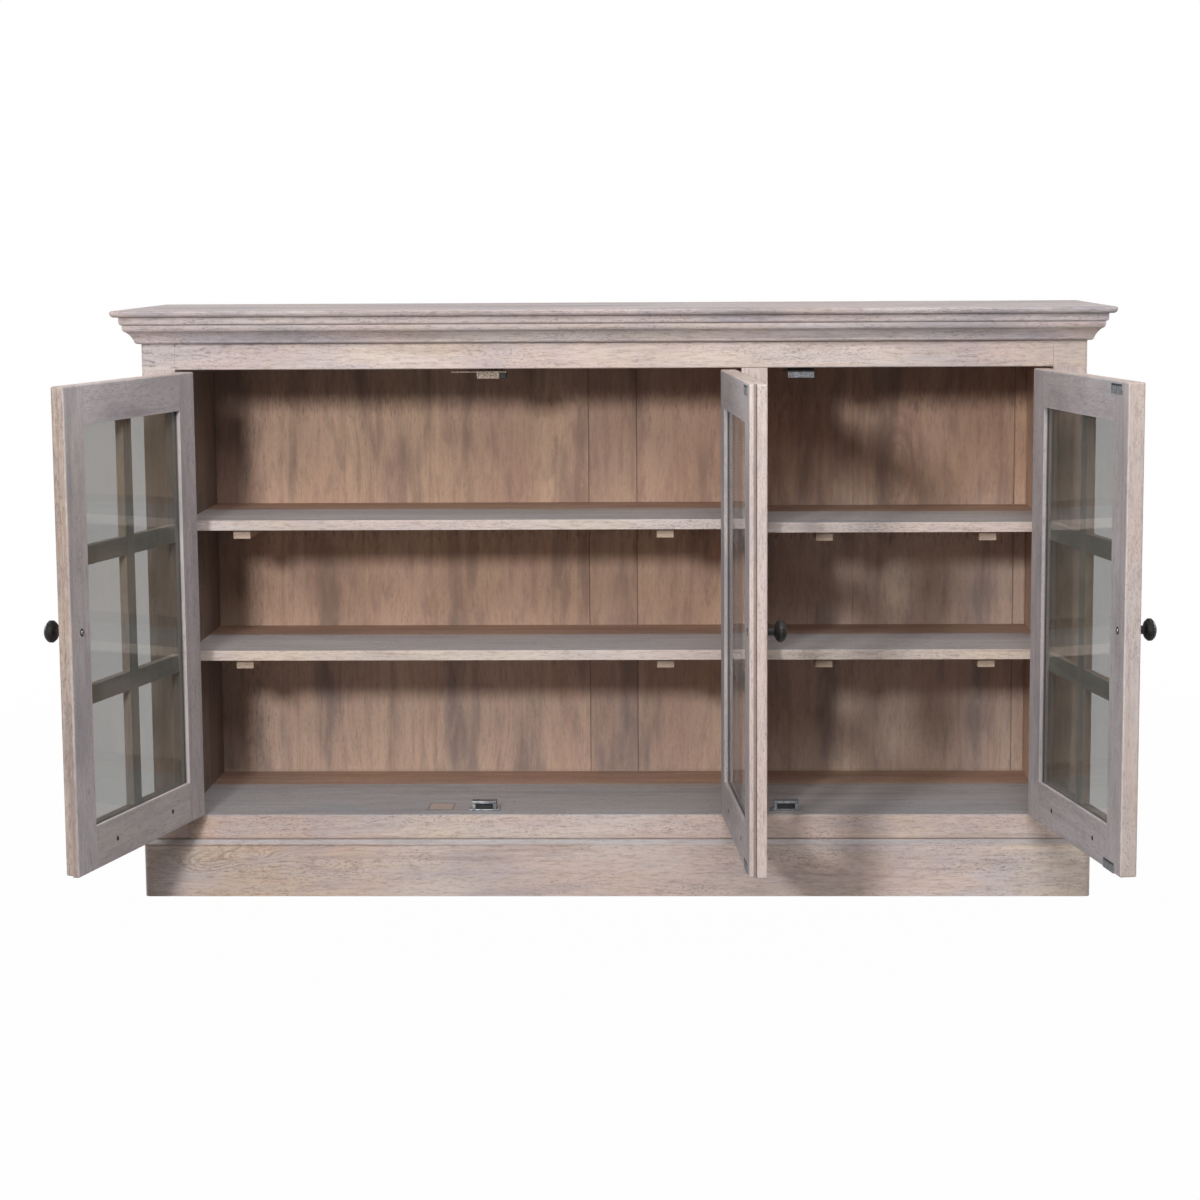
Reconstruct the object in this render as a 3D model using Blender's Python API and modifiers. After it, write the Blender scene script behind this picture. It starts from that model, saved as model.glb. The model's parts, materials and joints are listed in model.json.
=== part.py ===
# Glazed sideboard: a washed-wood cabinet with three glazed doors that stand open.
# Metres, +Z up. The origin is on the floor, under the middle of the carcass; the front looks towards -Y.
import math

import bmesh
import bpy

# Clearance between pieces that touch
CLEAR = 0.0003

# Carcass
CARCASS_WIDTH = 1.420
CARCASS_DEPTH = 0.370
HEIGHT = 0.897
SIDE_THICKNESS = 0.0475
PARTITION_THICKNESS = 0.022
FLOOR_TOP = 0.1248
FLOOR_THICKNESS = 0.018
ARRIS = 0.0012

# Top and cornice
TOP_THICKNESS = 0.0217
NOSING_THICKNESS = 0.0097
TOP_OVERHANG = 0.039
TOP_BACK_OVERHANG = 0.021
NOSING_TOP_RADIUS = 0.0030
NOSING_UNDER_RADIUS = 0.0064
NOSING_STEPS = 4
FILLET_INSET = 0.0116
FILLET_LAP = 0.002
FILLET_RADIUS = 0.0042
FILLET_STEPS = 3
CORNICE_HEIGHT = 0.0285
CORNICE_FOOT_FLAT = 0.0035
CORNICE_FOOT = 0.0085
CORNICE_FOOT_RISE = 0.0045
COVE_SAG = 0.0009
CORNICE_ROLL = 0.0236
CORNICE_ROLL_RETURN = 0.0044
CORNICE_ROLL_RISE = 0.0075
CORNICE_ROLL_DROP = 0.0098
CORNICE_STEPS = 4

# Face frame
FRAME_THICKNESS = 0.0255
SIDE_STILE_WIDTH = 0.0505
MIDDLE_STILE_WIDTH = 0.0387
TOP_RAIL_HEIGHT = 0.0679
BOTTOM_RAIL_HEIGHT = 0.066
CORNER_EASE = 0.003

# Back boards
BACK_INSET = 0.010
BACK_THICKNESS = 0.016
BACK_BOARD_WIDTHS = (0.6113, 0.0785, 0.3532, 0.2620)
BACK_GROOVE = 0.0009
BACK_BOTTOM = 0.012

# Shelves
SHELF_THICKNESS = 0.0154
SHELF_SETBACK = 0.0645
SHELF_LEFT_UPPER = 0.5729
SHELF_RIGHT_UPPER = 0.5672
SHELF_LOWER = 0.3700
BATTEN_WIDTH = 0.026
BATTEN_HEIGHT = 0.014
BATTENS_LEFT_BAY = (0.085, 0.125)
BATTENS_RIGHT_BAY = (0.098, 0.090)
BATTEN_SETBACK = 0.012
BATTEN_LAP = 0.002

# Plinth
PLINTH_HEIGHT = 0.0865
PLINTH_THICKNESS = 0.0149
PLINTH_SLOPE_RUN = 0.011
PLINTH_SLOPE_DROP = 0.0046
PLINTH_EASE = 0.008
BEARER_THICKNESS = 0.022

# Doors
DOOR_THICKNESS = 0.024
HINGE_STILE_WIDTH = 0.053
FREE_STILE_WIDTH = 0.058
DOOR_TOP_RAIL = 0.055
DOOR_BOTTOM_RAIL = 0.061
DOOR_EASE = 0.002
EDGE_GAP = 0.0027
FREE_GAP = 0.0021
MEETING_GAP = 0.0025
TOP_GAP = 0.0021
BOTTOM_GAP = 0.0023
LIP_OVERLAP = 0.0095
LIP_THICKNESS = 0.0145
LIP_GAP = 0.0005
LEFT_DOOR_OPEN = 103.55
MIDDLE_DOOR_OPEN = 94.81
RIGHT_DOOR_OPEN = 100.43

# Glazing
GLASS_THICKNESS = 0.004
GLASS_INNER_LIP = 0.0062
GROOVE_DEPTH = 0.006
GLASS_EDGE_PLAY = 0.001
BAR_WIDTH = 0.0265
BAR_RECESS = 0.0005
BAR_EASE = 0.0012

# Knobs
KNOB_DIAMETER = 0.032
KNOB_PROJECTION = 0.030
KNOB_HEAD_DEPTH = 0.018
KNOB_STEM_DIAMETER = 0.012
KNOB_FOOT_DIAMETER = 0.017
KNOB_FOOT_DEPTH = 0.002
KNOB_FROM_EDGE = 0.0266
KNOB_STEPS = 20
KNOB_HEAD_POINTS = 7

# Hinges
PIN_STANDOFF = 0.0065
KNUCKLE_RADIUS = 0.0045
KNUCKLE_SHAKE = 0.0005
PIN_RADIUS = 0.0022
LEAF_THICKNESS = 0.0009
LEAF_WIDTH = 0.018
HINGE_HEIGHT = 0.064
HINGE_FROM_END = 0.100
HINGE_STEPS = 16

# Magnetic catches
CATCH_WIDTH = 0.048
CATCH_DEPTH = 0.020
CATCH_DROP = 0.0165
CATCH_SEAT = 0.016
FLOOR_CATCH_HEIGHT = 0.015
TOP_CATCH_FROM_EDGE = 0.046
FLOOR_CATCH_FROM_EDGE = 0.028

# Finishes: colour, roughness, metallic value
WASHED_WOOD = ((0.62, 0.55, 0.51), 0.70, 0.0)
GREY_WOOD = ((0.42, 0.40, 0.40), 0.72, 0.0)
BROWN_WOOD = ((0.30, 0.22, 0.18), 0.75, 0.0)
PANE_GLASS = ((0.55, 0.58, 0.54), 0.05, 0.0)
BLACK_IRON = ((0.02, 0.02, 0.02), 0.45, 0.6)
DULL_STEEL = ((0.36, 0.35, 0.34), 0.40, 0.9)
CATCH_TAN = ((0.40, 0.32, 0.24), 0.60, 0.0)

# Places worked out from the sizes
FACE = -CARCASS_DEPTH / 2
REAR = CARCASS_DEPTH / 2
HALF_WIDTH = CARCASS_WIDTH / 2
UNDER_TOP = HEIGHT - TOP_THICKNESS
CARCASS_TOP = UNDER_TOP - CLEAR
OPENING_TOP = UNDER_TOP - TOP_RAIL_HEIGHT
OPENING_LEFT = SIDE_STILE_WIDTH - HALF_WIDTH
OPENING_RIGHT = HALF_WIDTH - SIDE_STILE_WIDTH
BEHIND_FRAME = FACE + FRAME_THICKNESS + CLEAR
SIDE_INNER = HALF_WIDTH - SIDE_THICKNESS
BACK_FRONT = REAR - BACK_INSET - BACK_THICKNESS
DOOR_SPACE = OPENING_RIGHT - OPENING_LEFT - MIDDLE_STILE_WIDTH
DOOR_WIDTH = (DOOR_SPACE - 3 * EDGE_GAP - MEETING_GAP - FREE_GAP) / 3
MIDDLE_LEFT = OPENING_LEFT + 2 * DOOR_WIDTH + 2 * EDGE_GAP + MEETING_GAP
MIDDLE_RIGHT = MIDDLE_LEFT + MIDDLE_STILE_WIDTH
PARTITION_LEFT = (MIDDLE_LEFT + MIDDLE_RIGHT - PARTITION_THICKNESS) / 2
PARTITION_RIGHT = PARTITION_LEFT + PARTITION_THICKNESS
DOOR_BOTTOM = FLOOR_TOP + BOTTOM_GAP
DOOR_TOP = OPENING_TOP - TOP_GAP
GROOVE_BACK = DOOR_THICKNESS - GLASS_INNER_LIP
GROOVE_FRONT = GROOVE_BACK - GLASS_THICKNESS - 2 * CLEAR

for old in list(bpy.data.objects):
    bpy.data.objects.remove(old, do_unlink=True)

sideboard = bpy.data.collections.new("glazed_sideboard")
helpers = bpy.data.collections.new("joining_shapes")
bpy.context.scene.collection.children.link(sideboard)
bpy.context.scene.collection.children.link(helpers)
helpers.hide_render = True


def finish_material(name, finish):
    colour, roughness, metallic = finish
    material = bpy.data.materials.new(name + "_finish")
    material.use_nodes = True
    shader = material.node_tree.nodes["Principled BSDF"]
    shader.inputs["Base Color"].default_value = (*colour, 1.0)
    shader.inputs["Roughness"].default_value = roughness
    shader.inputs["Metallic"].default_value = metallic
    material.diffuse_color = (*colour, 1.0)
    return material


def place(name, mesh, finish=None, parent=None):
    """A node when it has a finish, and otherwise a hidden helper for a Boolean."""
    low = [min(v.co[i] for v in mesh.verts) for i in range(3)]
    high = [max(v.co[i] for v in mesh.verts) for i in range(3)]
    centre = [(a + b) / 2 for a, b in zip(low, high)]
    bmesh.ops.translate(mesh, verts=mesh.verts, vec=[-c for c in centre])
    bmesh.ops.recalc_face_normals(mesh, faces=mesh.faces)
    data = bpy.data.meshes.new(name)
    mesh.to_mesh(data)
    mesh.free()
    return put(name, data, centre, finish, parent)


def put(name, data, location, finish=None, parent=None):
    obj = bpy.data.objects.new(name, data)
    obj.location = location
    obj.parent = parent
    if finish:
        data.materials.append(finish_material(name, finish))
        sideboard.objects.link(obj)
    else:
        obj.hide_render = True
        obj.display_type = "WIRE"
        helpers.objects.link(obj)
    return obj


def box(low, high):
    """A cube stretched between two corners, given in any order."""
    mesh = bmesh.new()
    bmesh.ops.create_cube(mesh, size=1.0)
    size = [abs(b - a) for a, b in zip(low, high)]
    bmesh.ops.scale(mesh, verts=mesh.verts, vec=size)
    bmesh.ops.translate(mesh, verts=mesh.verts, vec=[(a + b) / 2 for a, b in zip(low, high)])
    return mesh


def prism(outline, along, start, end):
    """An outline pushed along X, Y or Z. Its points give the other two coordinates, in X, Y, Z order."""
    mesh = bmesh.new()
    axis = "XYZ".index(along)
    corners = []
    for u, v in outline:
        point = [u, v]
        point.insert(axis, start)
        corners.append(mesh.verts.new(point))
    edges = [mesh.edges.new((corners[i - 1], corner)) for i, corner in enumerate(corners)]
    face = bmesh.ops.edgeloop_fill(mesh, edges=edges)["faces"]
    grown = bmesh.ops.extrude_face_region(mesh, geom=face)["geom"]
    shift = [0.0, 0.0, 0.0]
    shift[axis] = end - start
    bmesh.ops.translate(mesh, verts=[g for g in grown if isinstance(g, bmesh.types.BMVert)], vec=shift)
    return mesh


def ease(obj, width, segments, wanted):
    """Rounds edges by the share of the width that wanted gives for an edge's two ends, in the parent's frame."""
    mesh = bmesh.new()
    mesh.from_mesh(obj.data)
    weight = mesh.edges.layers.float.new("bevel_weight_edge")
    for edge in mesh.edges:
        first, second = (v.co + obj.location for v in edge.verts)
        edge[weight] = float(wanted(first, second))
    mesh.to_mesh(obj.data)
    mesh.free()
    bevel = obj.modifiers.new("eased_edges", "BEVEL")
    bevel.limit_method = "WEIGHT"
    bevel.width = width
    bevel.segments = segments
    return obj


def near(a, b):
    return abs(a - b) < CLEAR / 10


def combine(obj, other, operation="UNION"):
    boolean = obj.modifiers.new(operation.lower(), "BOOLEAN")
    boolean.operation = operation
    boolean.object = other


def turned(name, profile, steps, finish=None, parent=None):
    """A profile of (radius, height) points, top to bottom, turned about its own Z."""
    mesh = bmesh.new()
    points = [mesh.verts.new((radius, 0.0, height)) for radius, height in profile]
    for upper, lower in zip(points, points[1:]):
        mesh.edges.new((upper, lower))
    data = bpy.data.meshes.new(name)
    mesh.to_mesh(data)
    mesh.free()
    obj = put(name, data, (0.0, 0.0, 0.0), finish, parent)
    screw = obj.modifiers.new("turned", "SCREW")
    screw.steps = steps
    screw.render_steps = steps
    screw.use_merge_vertices = True
    screw.merge_threshold = CLEAR / 10
    screw.use_smooth_shade = True
    return obj


def build_top():
    """A board with a thumbnail nosing, over a fillet that steps in under it."""
    under_nosing = HEIGHT - NOSING_THICKNESS
    low = (-HALF_WIDTH - TOP_OVERHANG, FACE - TOP_OVERHANG, under_nosing)
    high = (HALF_WIDTH + TOP_OVERHANG, REAR + TOP_BACK_OVERHANG, HEIGHT)
    board = place("top_board", box(low, high), WASHED_WOOD)

    def nosing_share(a, b):
        underneath = near(a.z, under_nosing) and near(b.z, under_nosing)
        return 1.0 if underneath else NOSING_TOP_RADIUS / NOSING_UNDER_RADIUS

    ease(board, NOSING_UNDER_RADIUS, NOSING_STEPS, nosing_share)
    reach = TOP_OVERHANG - FILLET_INSET
    low = (-HALF_WIDTH - reach, FACE - reach, UNDER_TOP)
    high = (HALF_WIDTH + reach, REAR, under_nosing + FILLET_LAP)
    fillet = place("top_board_fillet", box(low, high))

    def lower_arris(a, b):
        return near(a.z, UNDER_TOP) and near(b.z, UNDER_TOP) and not (near(a.y, REAR) and near(b.y, REAR))

    ease(fillet, FILLET_RADIUS, FILLET_STEPS, lower_arris)
    combine(board, fillet)


def cornice_profile():
    """Points of (projection, height) up the moulding: rounded foot, shallow cove and a roll under the top."""
    foot = UNDER_TOP - CORNICE_HEIGHT + CORNICE_FOOT_RISE
    neck = CARCASS_TOP - CORNICE_ROLL_DROP
    neck_reach = CORNICE_ROLL - CORNICE_ROLL_RETURN
    turns = [math.pi / 2 * step / CORNICE_STEPS for step in range(CORNICE_STEPS + 1)]
    profile = [(CLEAR, foot - CORNICE_FOOT_RISE)]
    for turn in turns:
        reach = CORNICE_FOOT_FLAT + (CORNICE_FOOT - CORNICE_FOOT_FLAT) * math.sin(turn)
        profile.append((reach, foot - CORNICE_FOOT_RISE * math.cos(turn)))
    for step in range(1, CORNICE_STEPS):
        share = step / CORNICE_STEPS
        sag = 4 * COVE_SAG * share * (1 - share)
        profile.append((CORNICE_FOOT + (neck_reach - CORNICE_FOOT) * share - sag, foot + (neck - foot) * share + sag))
    for turn in turns:
        reach = neck_reach + CORNICE_ROLL_RETURN * math.sin(turn)
        profile.append((reach, neck + CORNICE_ROLL_RISE * (1 - math.cos(turn))))
    return profile + [(CORNICE_ROLL, CARCASS_TOP), (CLEAR, CARCASS_TOP)]


def build_cornice():
    profile = cornice_profile()
    front = prism([(FACE - reach, z) for reach, z in profile], "X", -HALF_WIDTH, HALF_WIDTH)
    for vert in front.verts:
        # Each end of the front length is mitred: it runs out as far as the moulding stands proud there
        reach = FACE - vert.co.y
        vert.co.x += math.copysign(reach - CLEAR, vert.co.x)
    place("cornice_front", front, WASHED_WOOD)
    for side, name in ((-1, "cornice_left"), (1, "cornice_right")):
        outline = [(side * (HALF_WIDTH + reach), z) for reach, z in profile]
        length = prism(outline, "Y", FACE, REAR)
        for vert in length.verts:
            if near(vert.co.y, FACE):
                vert.co.y -= abs(vert.co.x) - HALF_WIDTH - CLEAR
        place(name, length, WASHED_WOOD)


def build_face_frame():
    back = FACE + FRAME_THICKNESS
    for side, name in ((-1, "frame_stile_left"), (1, "frame_stile_right")):
        outer, inner = side * HALF_WIDTH, side * (HALF_WIDTH - SIDE_STILE_WIDTH)
        stile = place(name, box((outer, FACE, 0.0), (inner, back, CARCASS_TOP)), WASHED_WOOD)

        def at_corner(a, b, outer=outer):
            return near(a.x, outer) and near(b.x, outer) and near(a.y, FACE) and near(b.y, FACE)

        ease(stile, CORNER_EASE, 2, at_corner)
    left, right = OPENING_LEFT + CLEAR, OPENING_RIGHT - CLEAR
    rail = place("frame_top_rail", box((left, FACE, OPENING_TOP), (right, back, CARCASS_TOP)), WASHED_WOOD)

    def over_doors(a, b):
        return near(a.z, OPENING_TOP) and near(b.z, OPENING_TOP) and near(a.y, FACE) and near(b.y, FACE)

    ease(rail, ARRIS, 1, over_doors)
    low = (left, FACE, FLOOR_TOP - BOTTOM_RAIL_HEIGHT)
    rail = place("frame_bottom_rail", box(low, (right, back, FLOOR_TOP)), WASHED_WOOD)

    def under_doors(a, b):
        return near(a.z, FLOOR_TOP) and near(b.z, FLOOR_TOP) and near(a.y, FACE) and near(b.y, FACE)

    ease(rail, ARRIS, 1, under_doors)
    low = (MIDDLE_LEFT, FACE, FLOOR_TOP + CLEAR)
    place("frame_stile_middle", box(low, (MIDDLE_RIGHT, back, OPENING_TOP - CLEAR)), WASHED_WOOD)


def build_carcass():
    for side, name in ((-1, "side_panel_left"), (1, "side_panel_right")):
        low = (side * HALF_WIDTH, BEHIND_FRAME, 0.0)
        high = (side * SIDE_INNER, REAR, CARCASS_TOP)
        place(name, box(low, high), WASHED_WOOD)
    inner = SIDE_INNER - CLEAR
    low = (-inner, BEHIND_FRAME, FLOOR_TOP - FLOOR_THICKNESS)
    place("floor_panel", box(low, (inner, BACK_FRONT - CLEAR, FLOOR_TOP)), GREY_WOOD)
    low = (PARTITION_LEFT, BEHIND_FRAME, FLOOR_TOP + CLEAR)
    place("partition", box(low, (PARTITION_RIGHT, BACK_FRONT - CLEAR, CARCASS_TOP)), BROWN_WOOD)
    low = (-BEARER_THICKNESS / 2, BEHIND_FRAME, 0.0)
    high = (BEARER_THICKNESS / 2, BACK_FRONT - CLEAR, FLOOR_TOP - FLOOR_THICKNESS - CLEAR)
    place("plinth_bearer", box(low, high), BROWN_WOOD)


def build_back():
    """Upright boards in one panel, with a shallow V along each joint on the inner side."""
    inner = SIDE_INNER - CLEAR
    outline = [(-inner, BACK_FRONT + BACK_THICKNESS), (-inner, BACK_FRONT)]
    joint = -inner
    for width in BACK_BOARD_WIDTHS:
        joint += width
        if joint < inner - 2 * BACK_GROOVE:
            outline.append((joint - BACK_GROOVE, BACK_FRONT))
            outline.append((joint, BACK_FRONT + BACK_GROOVE))
            outline.append((joint + BACK_GROOVE, BACK_FRONT))
    outline += [(inner, BACK_FRONT), (inner, BACK_FRONT + BACK_THICKNESS)]
    place("back_panel", prism(outline, "Z", BACK_BOTTOM, CARCASS_TOP), BROWN_WOOD)


def build_shelf(name, left, right, battens, top):
    front, back = FACE + SHELF_SETBACK, BACK_FRONT - CLEAR
    under = top - SHELF_THICKNESS
    shelf = place(name, box((left + CLEAR, front, under), (right - CLEAR, back, top)), GREY_WOOD)
    for end, middle in (("left", left + battens[0]), ("right", right - battens[1])):
        low = (middle - BATTEN_WIDTH / 2, front + BATTEN_SETBACK, under - BATTEN_HEIGHT)
        high = (middle + BATTEN_WIDTH / 2, back - BATTEN_SETBACK, under + BATTEN_LAP)
        combine(shelf, place(f"{name}_{end}_batten", box(low, high)))


def build_shelves():
    left_bay = (-SIDE_INNER, PARTITION_LEFT, BATTENS_LEFT_BAY)
    right_bay = (PARTITION_RIGHT, SIDE_INNER, BATTENS_RIGHT_BAY)
    build_shelf("shelf_left_upper", *left_bay, SHELF_LEFT_UPPER)
    build_shelf("shelf_left_lower", *left_bay, SHELF_LOWER)
    build_shelf("shelf_right_upper", *right_bay, SHELF_RIGHT_UPPER)
    build_shelf("shelf_right_lower", *right_bay, SHELF_LOWER)


def plinth_section(face, outward):
    """A board's section at the floor: upright outside, with a slope down to it from the top."""
    inner, outer = face + outward * CLEAR, face + outward * PLINTH_THICKNESS
    slope_start = outer - outward * PLINTH_SLOPE_RUN
    return [(inner, 0.0), (outer, 0.0), (outer, PLINTH_HEIGHT - PLINTH_SLOPE_DROP),
            (slope_start, PLINTH_HEIGHT), (inner, PLINTH_HEIGHT)]


def build_plinth():
    reach = HALF_WIDTH + PLINTH_THICKNESS
    front = place("plinth_front", prism(plinth_section(FACE, -1), "X", -reach, reach), WASHED_WOOD)
    outside = FACE - PLINTH_THICKNESS

    def round_ends(a, b):
        at_end = near(abs(a.x), reach) and near(a.x, b.x)
        return at_end and near(a.y, outside) and near(b.y, outside)

    ease(front, PLINTH_EASE, 3, round_ends)
    for side, name in ((-1, "plinth_left"), (1, "plinth_right")):
        place(name, prism(plinth_section(side * HALF_WIDTH, side), "Y", FACE, REAR), WASHED_WOOD)


def build_catches():
    """The upper catches hang on the back of the top rail, and the lower ones stand on the floor panel."""
    rear = BEHIND_FRAME + CATCH_DEPTH
    half = CATCH_WIDTH / 2
    left_end = MIDDLE_LEFT - EDGE_GAP - DOOR_WIDTH
    right_end = OPENING_RIGHT - EDGE_GAP - DOOR_WIDTH
    for bay, end in (("left", left_end), ("right", right_end)):
        middle = end + TOP_CATCH_FROM_EDGE
        low = (middle - half, BEHIND_FRAME, OPENING_TOP - CATCH_DROP)
        high = (middle + half, rear, OPENING_TOP + CATCH_SEAT)
        place(f"catch_{bay}_top", box(low, high), CATCH_TAN)
        middle = end + FLOOR_CATCH_FROM_EDGE
        low = (middle - half, BEHIND_FRAME, FLOOR_TOP + CLEAR)
        high = (middle + half, rear, FLOOR_TOP + FLOOR_CATCH_HEIGHT)
        place(f"catch_{bay}_floor", box(low, high), DULL_STEEL)


def hinge_leaf(name, side, finish, parent, levels, tabs):
    """A thin leaf upright in the gap at the door's edge, with tabs that run in to the pin at these levels.

    The pin is at the parent's origin, and side is +1 or -1 for the face of the gap that the leaf lies on.
    """
    low, high = levels
    near_edge, far_edge = KNUCKLE_RADIUS + KNUCKLE_SHAKE, PIN_STANDOFF + LEAF_WIDTH
    outline = [(far_edge, high), (far_edge, low), (near_edge, low)]
    for bottom, top in tabs:
        outline += [(near_edge, bottom), (0.0, bottom), (0.0, top), (near_edge, top)]
    outline.append((near_edge, high))
    outline = [point for i, point in enumerate(outline) if point != outline[i - 1]]
    outer = side * (EDGE_GAP / 2 - CLEAR)
    plate = prism(outline, "X", outer - side * LEAF_THICKNESS, outer)
    return place(name, plate, finish, parent)


def build_hinge(name, side, pin_place, pivot, middle):
    """Three knuckles: the outer two and the pin belong to the frame leaf, the middle one to the door leaf."""
    low, high = middle - HINGE_HEIGHT / 2, middle + HINGE_HEIGHT / 2
    third = HINGE_HEIGHT / 3
    lower, upper = low + third, high - third
    shake = KNUCKLE_SHAKE / 2
    leaf_ends = (low + CLEAR, high - CLEAR)
    tabs = ((low + CLEAR, lower - shake - CLEAR), (upper + shake + CLEAR, high - CLEAR))
    leaf = hinge_leaf(f"{name}_frame_leaf", -side, DULL_STEEL, pin_place, leaf_ends, tabs)
    spindle = [(0.0, high), (KNUCKLE_RADIUS, high), (KNUCKLE_RADIUS, upper + shake), (PIN_RADIUS, upper + shake),
               (PIN_RADIUS, lower - shake), (KNUCKLE_RADIUS, lower - shake), (KNUCKLE_RADIUS, low), (0.0, low)]
    combine(leaf, turned(f"{name}_spindle", spindle, HINGE_STEPS, parent=pin_place))
    tabs = ((lower + shake + CLEAR, upper - shake - CLEAR),)
    leaf = hinge_leaf(f"{name}_door_leaf", side, DULL_STEEL, pivot, leaf_ends, tabs)
    barrel = [(0.0, upper - shake), (KNUCKLE_RADIUS, upper - shake), (KNUCKLE_RADIUS, lower + shake),
              (0.0, lower + shake)]
    combine(leaf, turned(f"{name}_barrel", barrel, HINGE_STEPS, parent=pivot))
    bore_radius = PIN_RADIUS + CLEAR
    bore = [(0.0, upper), (bore_radius, upper), (bore_radius, lower), (0.0, lower)]
    combine(leaf, turned(f"{name}_bore", bore, HINGE_STEPS, parent=pivot), "DIFFERENCE")


class Door:
    """One door, closed, in the frame of its hinge pin: x runs from the pin across the door, y into the carcass."""

    def __init__(self, name, side, opening_edge, angle, meeting):
        self.name = name
        self.side = side
        self.pin_place = self.pin(f"{name}_pin_place", opening_edge, 0.0)
        self.pivot = self.pin(f"{name}_pivot", opening_edge, -side * math.radians(angle))
        # How far the outer and inner halves of the free edge run past the door's nominal width
        self.outer_reach = DOOR_WIDTH + {"tongue": -1, "lip": 1}.get(meeting, 0) * LIP_OVERLAP / 2
        self.inner_reach = DOOR_WIDTH - {"tongue": -1, "lip": 1}.get(meeting, 0) * LIP_OVERLAP / 2
        self.step = LIP_THICKNESS + (LIP_GAP if meeting == "tongue" else 0.0)

    def pin(self, name, opening_edge, turn):
        empty = bpy.data.objects.new(name, None)
        empty.location = (opening_edge + self.side * EDGE_GAP / 2, FACE - PIN_STANDOFF, 0.0)
        empty.rotation_euler = (0.0, 0.0, turn)
        sideboard.objects.link(empty)
        return empty

    def x(self, across):
        return self.side * (EDGE_GAP / 2 + across)

    def y(self, deep):
        return PIN_STANDOFF + deep

    def add(self, piece, mesh, finish=WASHED_WOOD):
        return place(f"{self.name}_{piece}", mesh, finish, self.pivot)

    def box(self, low, high):
        return box((self.x(low[0]), self.y(low[1]), low[2]), (self.x(high[0]), self.y(high[1]), high[2]))

    def plan(self, outline, low, high):
        """An upright piece from its section, given as points of (across, deep)."""
        return prism([(self.x(a), self.y(d)) for a, d in outline], "Z", low, high)

    def build(self):
        self.glass_left = HINGE_STILE_WIDTH
        self.glass_right = self.inner_reach - FREE_STILE_WIDTH
        self.glass_low = DOOR_BOTTOM + DOOR_BOTTOM_RAIL
        self.glass_high = DOOR_TOP - DOOR_TOP_RAIL
        self.build_stiles()
        self.build_rail("bottom_rail", DOOR_BOTTOM, self.glass_low)
        self.build_rail("top_rail", DOOR_TOP, self.glass_high)
        self.build_glazing()
        self.build_knob()
        for place_name, middle in (("upper", DOOR_TOP - HINGE_FROM_END), ("lower", DOOR_BOTTOM + HINGE_FROM_END)):
            name = f"hinge_{self.name.removeprefix('door_')}_{place_name}"
            build_hinge(name, self.side, self.pin_place, self.pivot, middle)

    def build_stiles(self):
        groove = HINGE_STILE_WIDTH - GROOVE_DEPTH
        outline = [(0.0, 0.0), (HINGE_STILE_WIDTH, 0.0), (HINGE_STILE_WIDTH, GROOVE_FRONT), (groove, GROOVE_FRONT),
                   (groove, GROOVE_BACK), (HINGE_STILE_WIDTH, GROOVE_BACK), (HINGE_STILE_WIDTH, DOOR_THICKNESS),
                   (0.0, DOOR_THICKNESS)]
        stile = self.add("hinge_stile", self.plan(outline, DOOR_BOTTOM, DOOR_TOP))
        self.ease_perimeter(stile, (0.0,))
        edge = self.glass_right
        groove = edge + GROOVE_DEPTH
        outline = [(edge, 0.0), (self.outer_reach, 0.0)]
        if not near(self.outer_reach, self.inner_reach):
            outline += [(self.outer_reach, self.step), (self.inner_reach, self.step)]
        outline += [(self.inner_reach, DOOR_THICKNESS), (edge, DOOR_THICKNESS), (edge, GROOVE_BACK),
                    (groove, GROOVE_BACK), (groove, GROOVE_FRONT), (edge, GROOVE_FRONT)]
        stile = self.add("free_stile", self.plan(outline, DOOR_BOTTOM, DOOR_TOP))
        self.ease_perimeter(stile, (self.outer_reach, self.inner_reach))

    def ease_perimeter(self, piece, outside):
        """Rounds the edges round the door's outside, but not those along the joint with the rails."""
        faces = (self.y(0.0), self.y(DOOR_THICKNESS))
        sides = [self.x(across) for across in outside]

        def wanted(a, b):
            on_face = any(near(a.y, face) and near(b.y, face) for face in faces)
            at_end = near(a.z, b.z) and (near(a.z, DOOR_BOTTOM) or near(a.z, DOOR_TOP))
            at_side = any(near(a.x, side) and near(b.x, side) for side in sides)
            return on_face + at_end + at_side > 1

        ease(piece, DOOR_EASE, 2, wanted)

    def build_rail(self, piece, outside, inside):
        """A rail between the stiles, with the glass groove along its inner edge and a tongue on each end."""
        inward = math.copysign(1.0, inside - outside)
        groove = inside - inward * GROOVE_DEPTH
        left, right = self.glass_left + CLEAR, self.glass_right - CLEAR
        section = [(0.0, outside), (0.0, inside), (GROOVE_FRONT, inside), (GROOVE_FRONT, groove),
                   (GROOVE_BACK, groove), (GROOVE_BACK, inside), (DOOR_THICKNESS, inside),
                   (DOOR_THICKNESS, outside)]
        outline = [(self.y(deep), z) for deep, z in section]
        rail = self.add(piece, prism(outline, "X", self.x(left), self.x(right)))
        faces = (self.y(0.0), self.y(DOOR_THICKNESS))

        def along_edge(a, b):
            return near(a.z, outside) and near(b.z, outside) and near(a.y, b.y) and any(near(a.y, f) for f in faces)

        ease(rail, DOOR_EASE, 2, along_edge)
        reach = GROOVE_DEPTH - CLEAR
        low = (left - reach, GROOVE_FRONT + CLEAR, outside + inward * DOOR_EASE)
        high = (right + reach, GROOVE_BACK - CLEAR, groove - inward * CLEAR)
        tongues = place(f"{self.name}_{piece}_tongues", self.box(low, high), parent=self.pivot)
        combine(rail, tongues)

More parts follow.
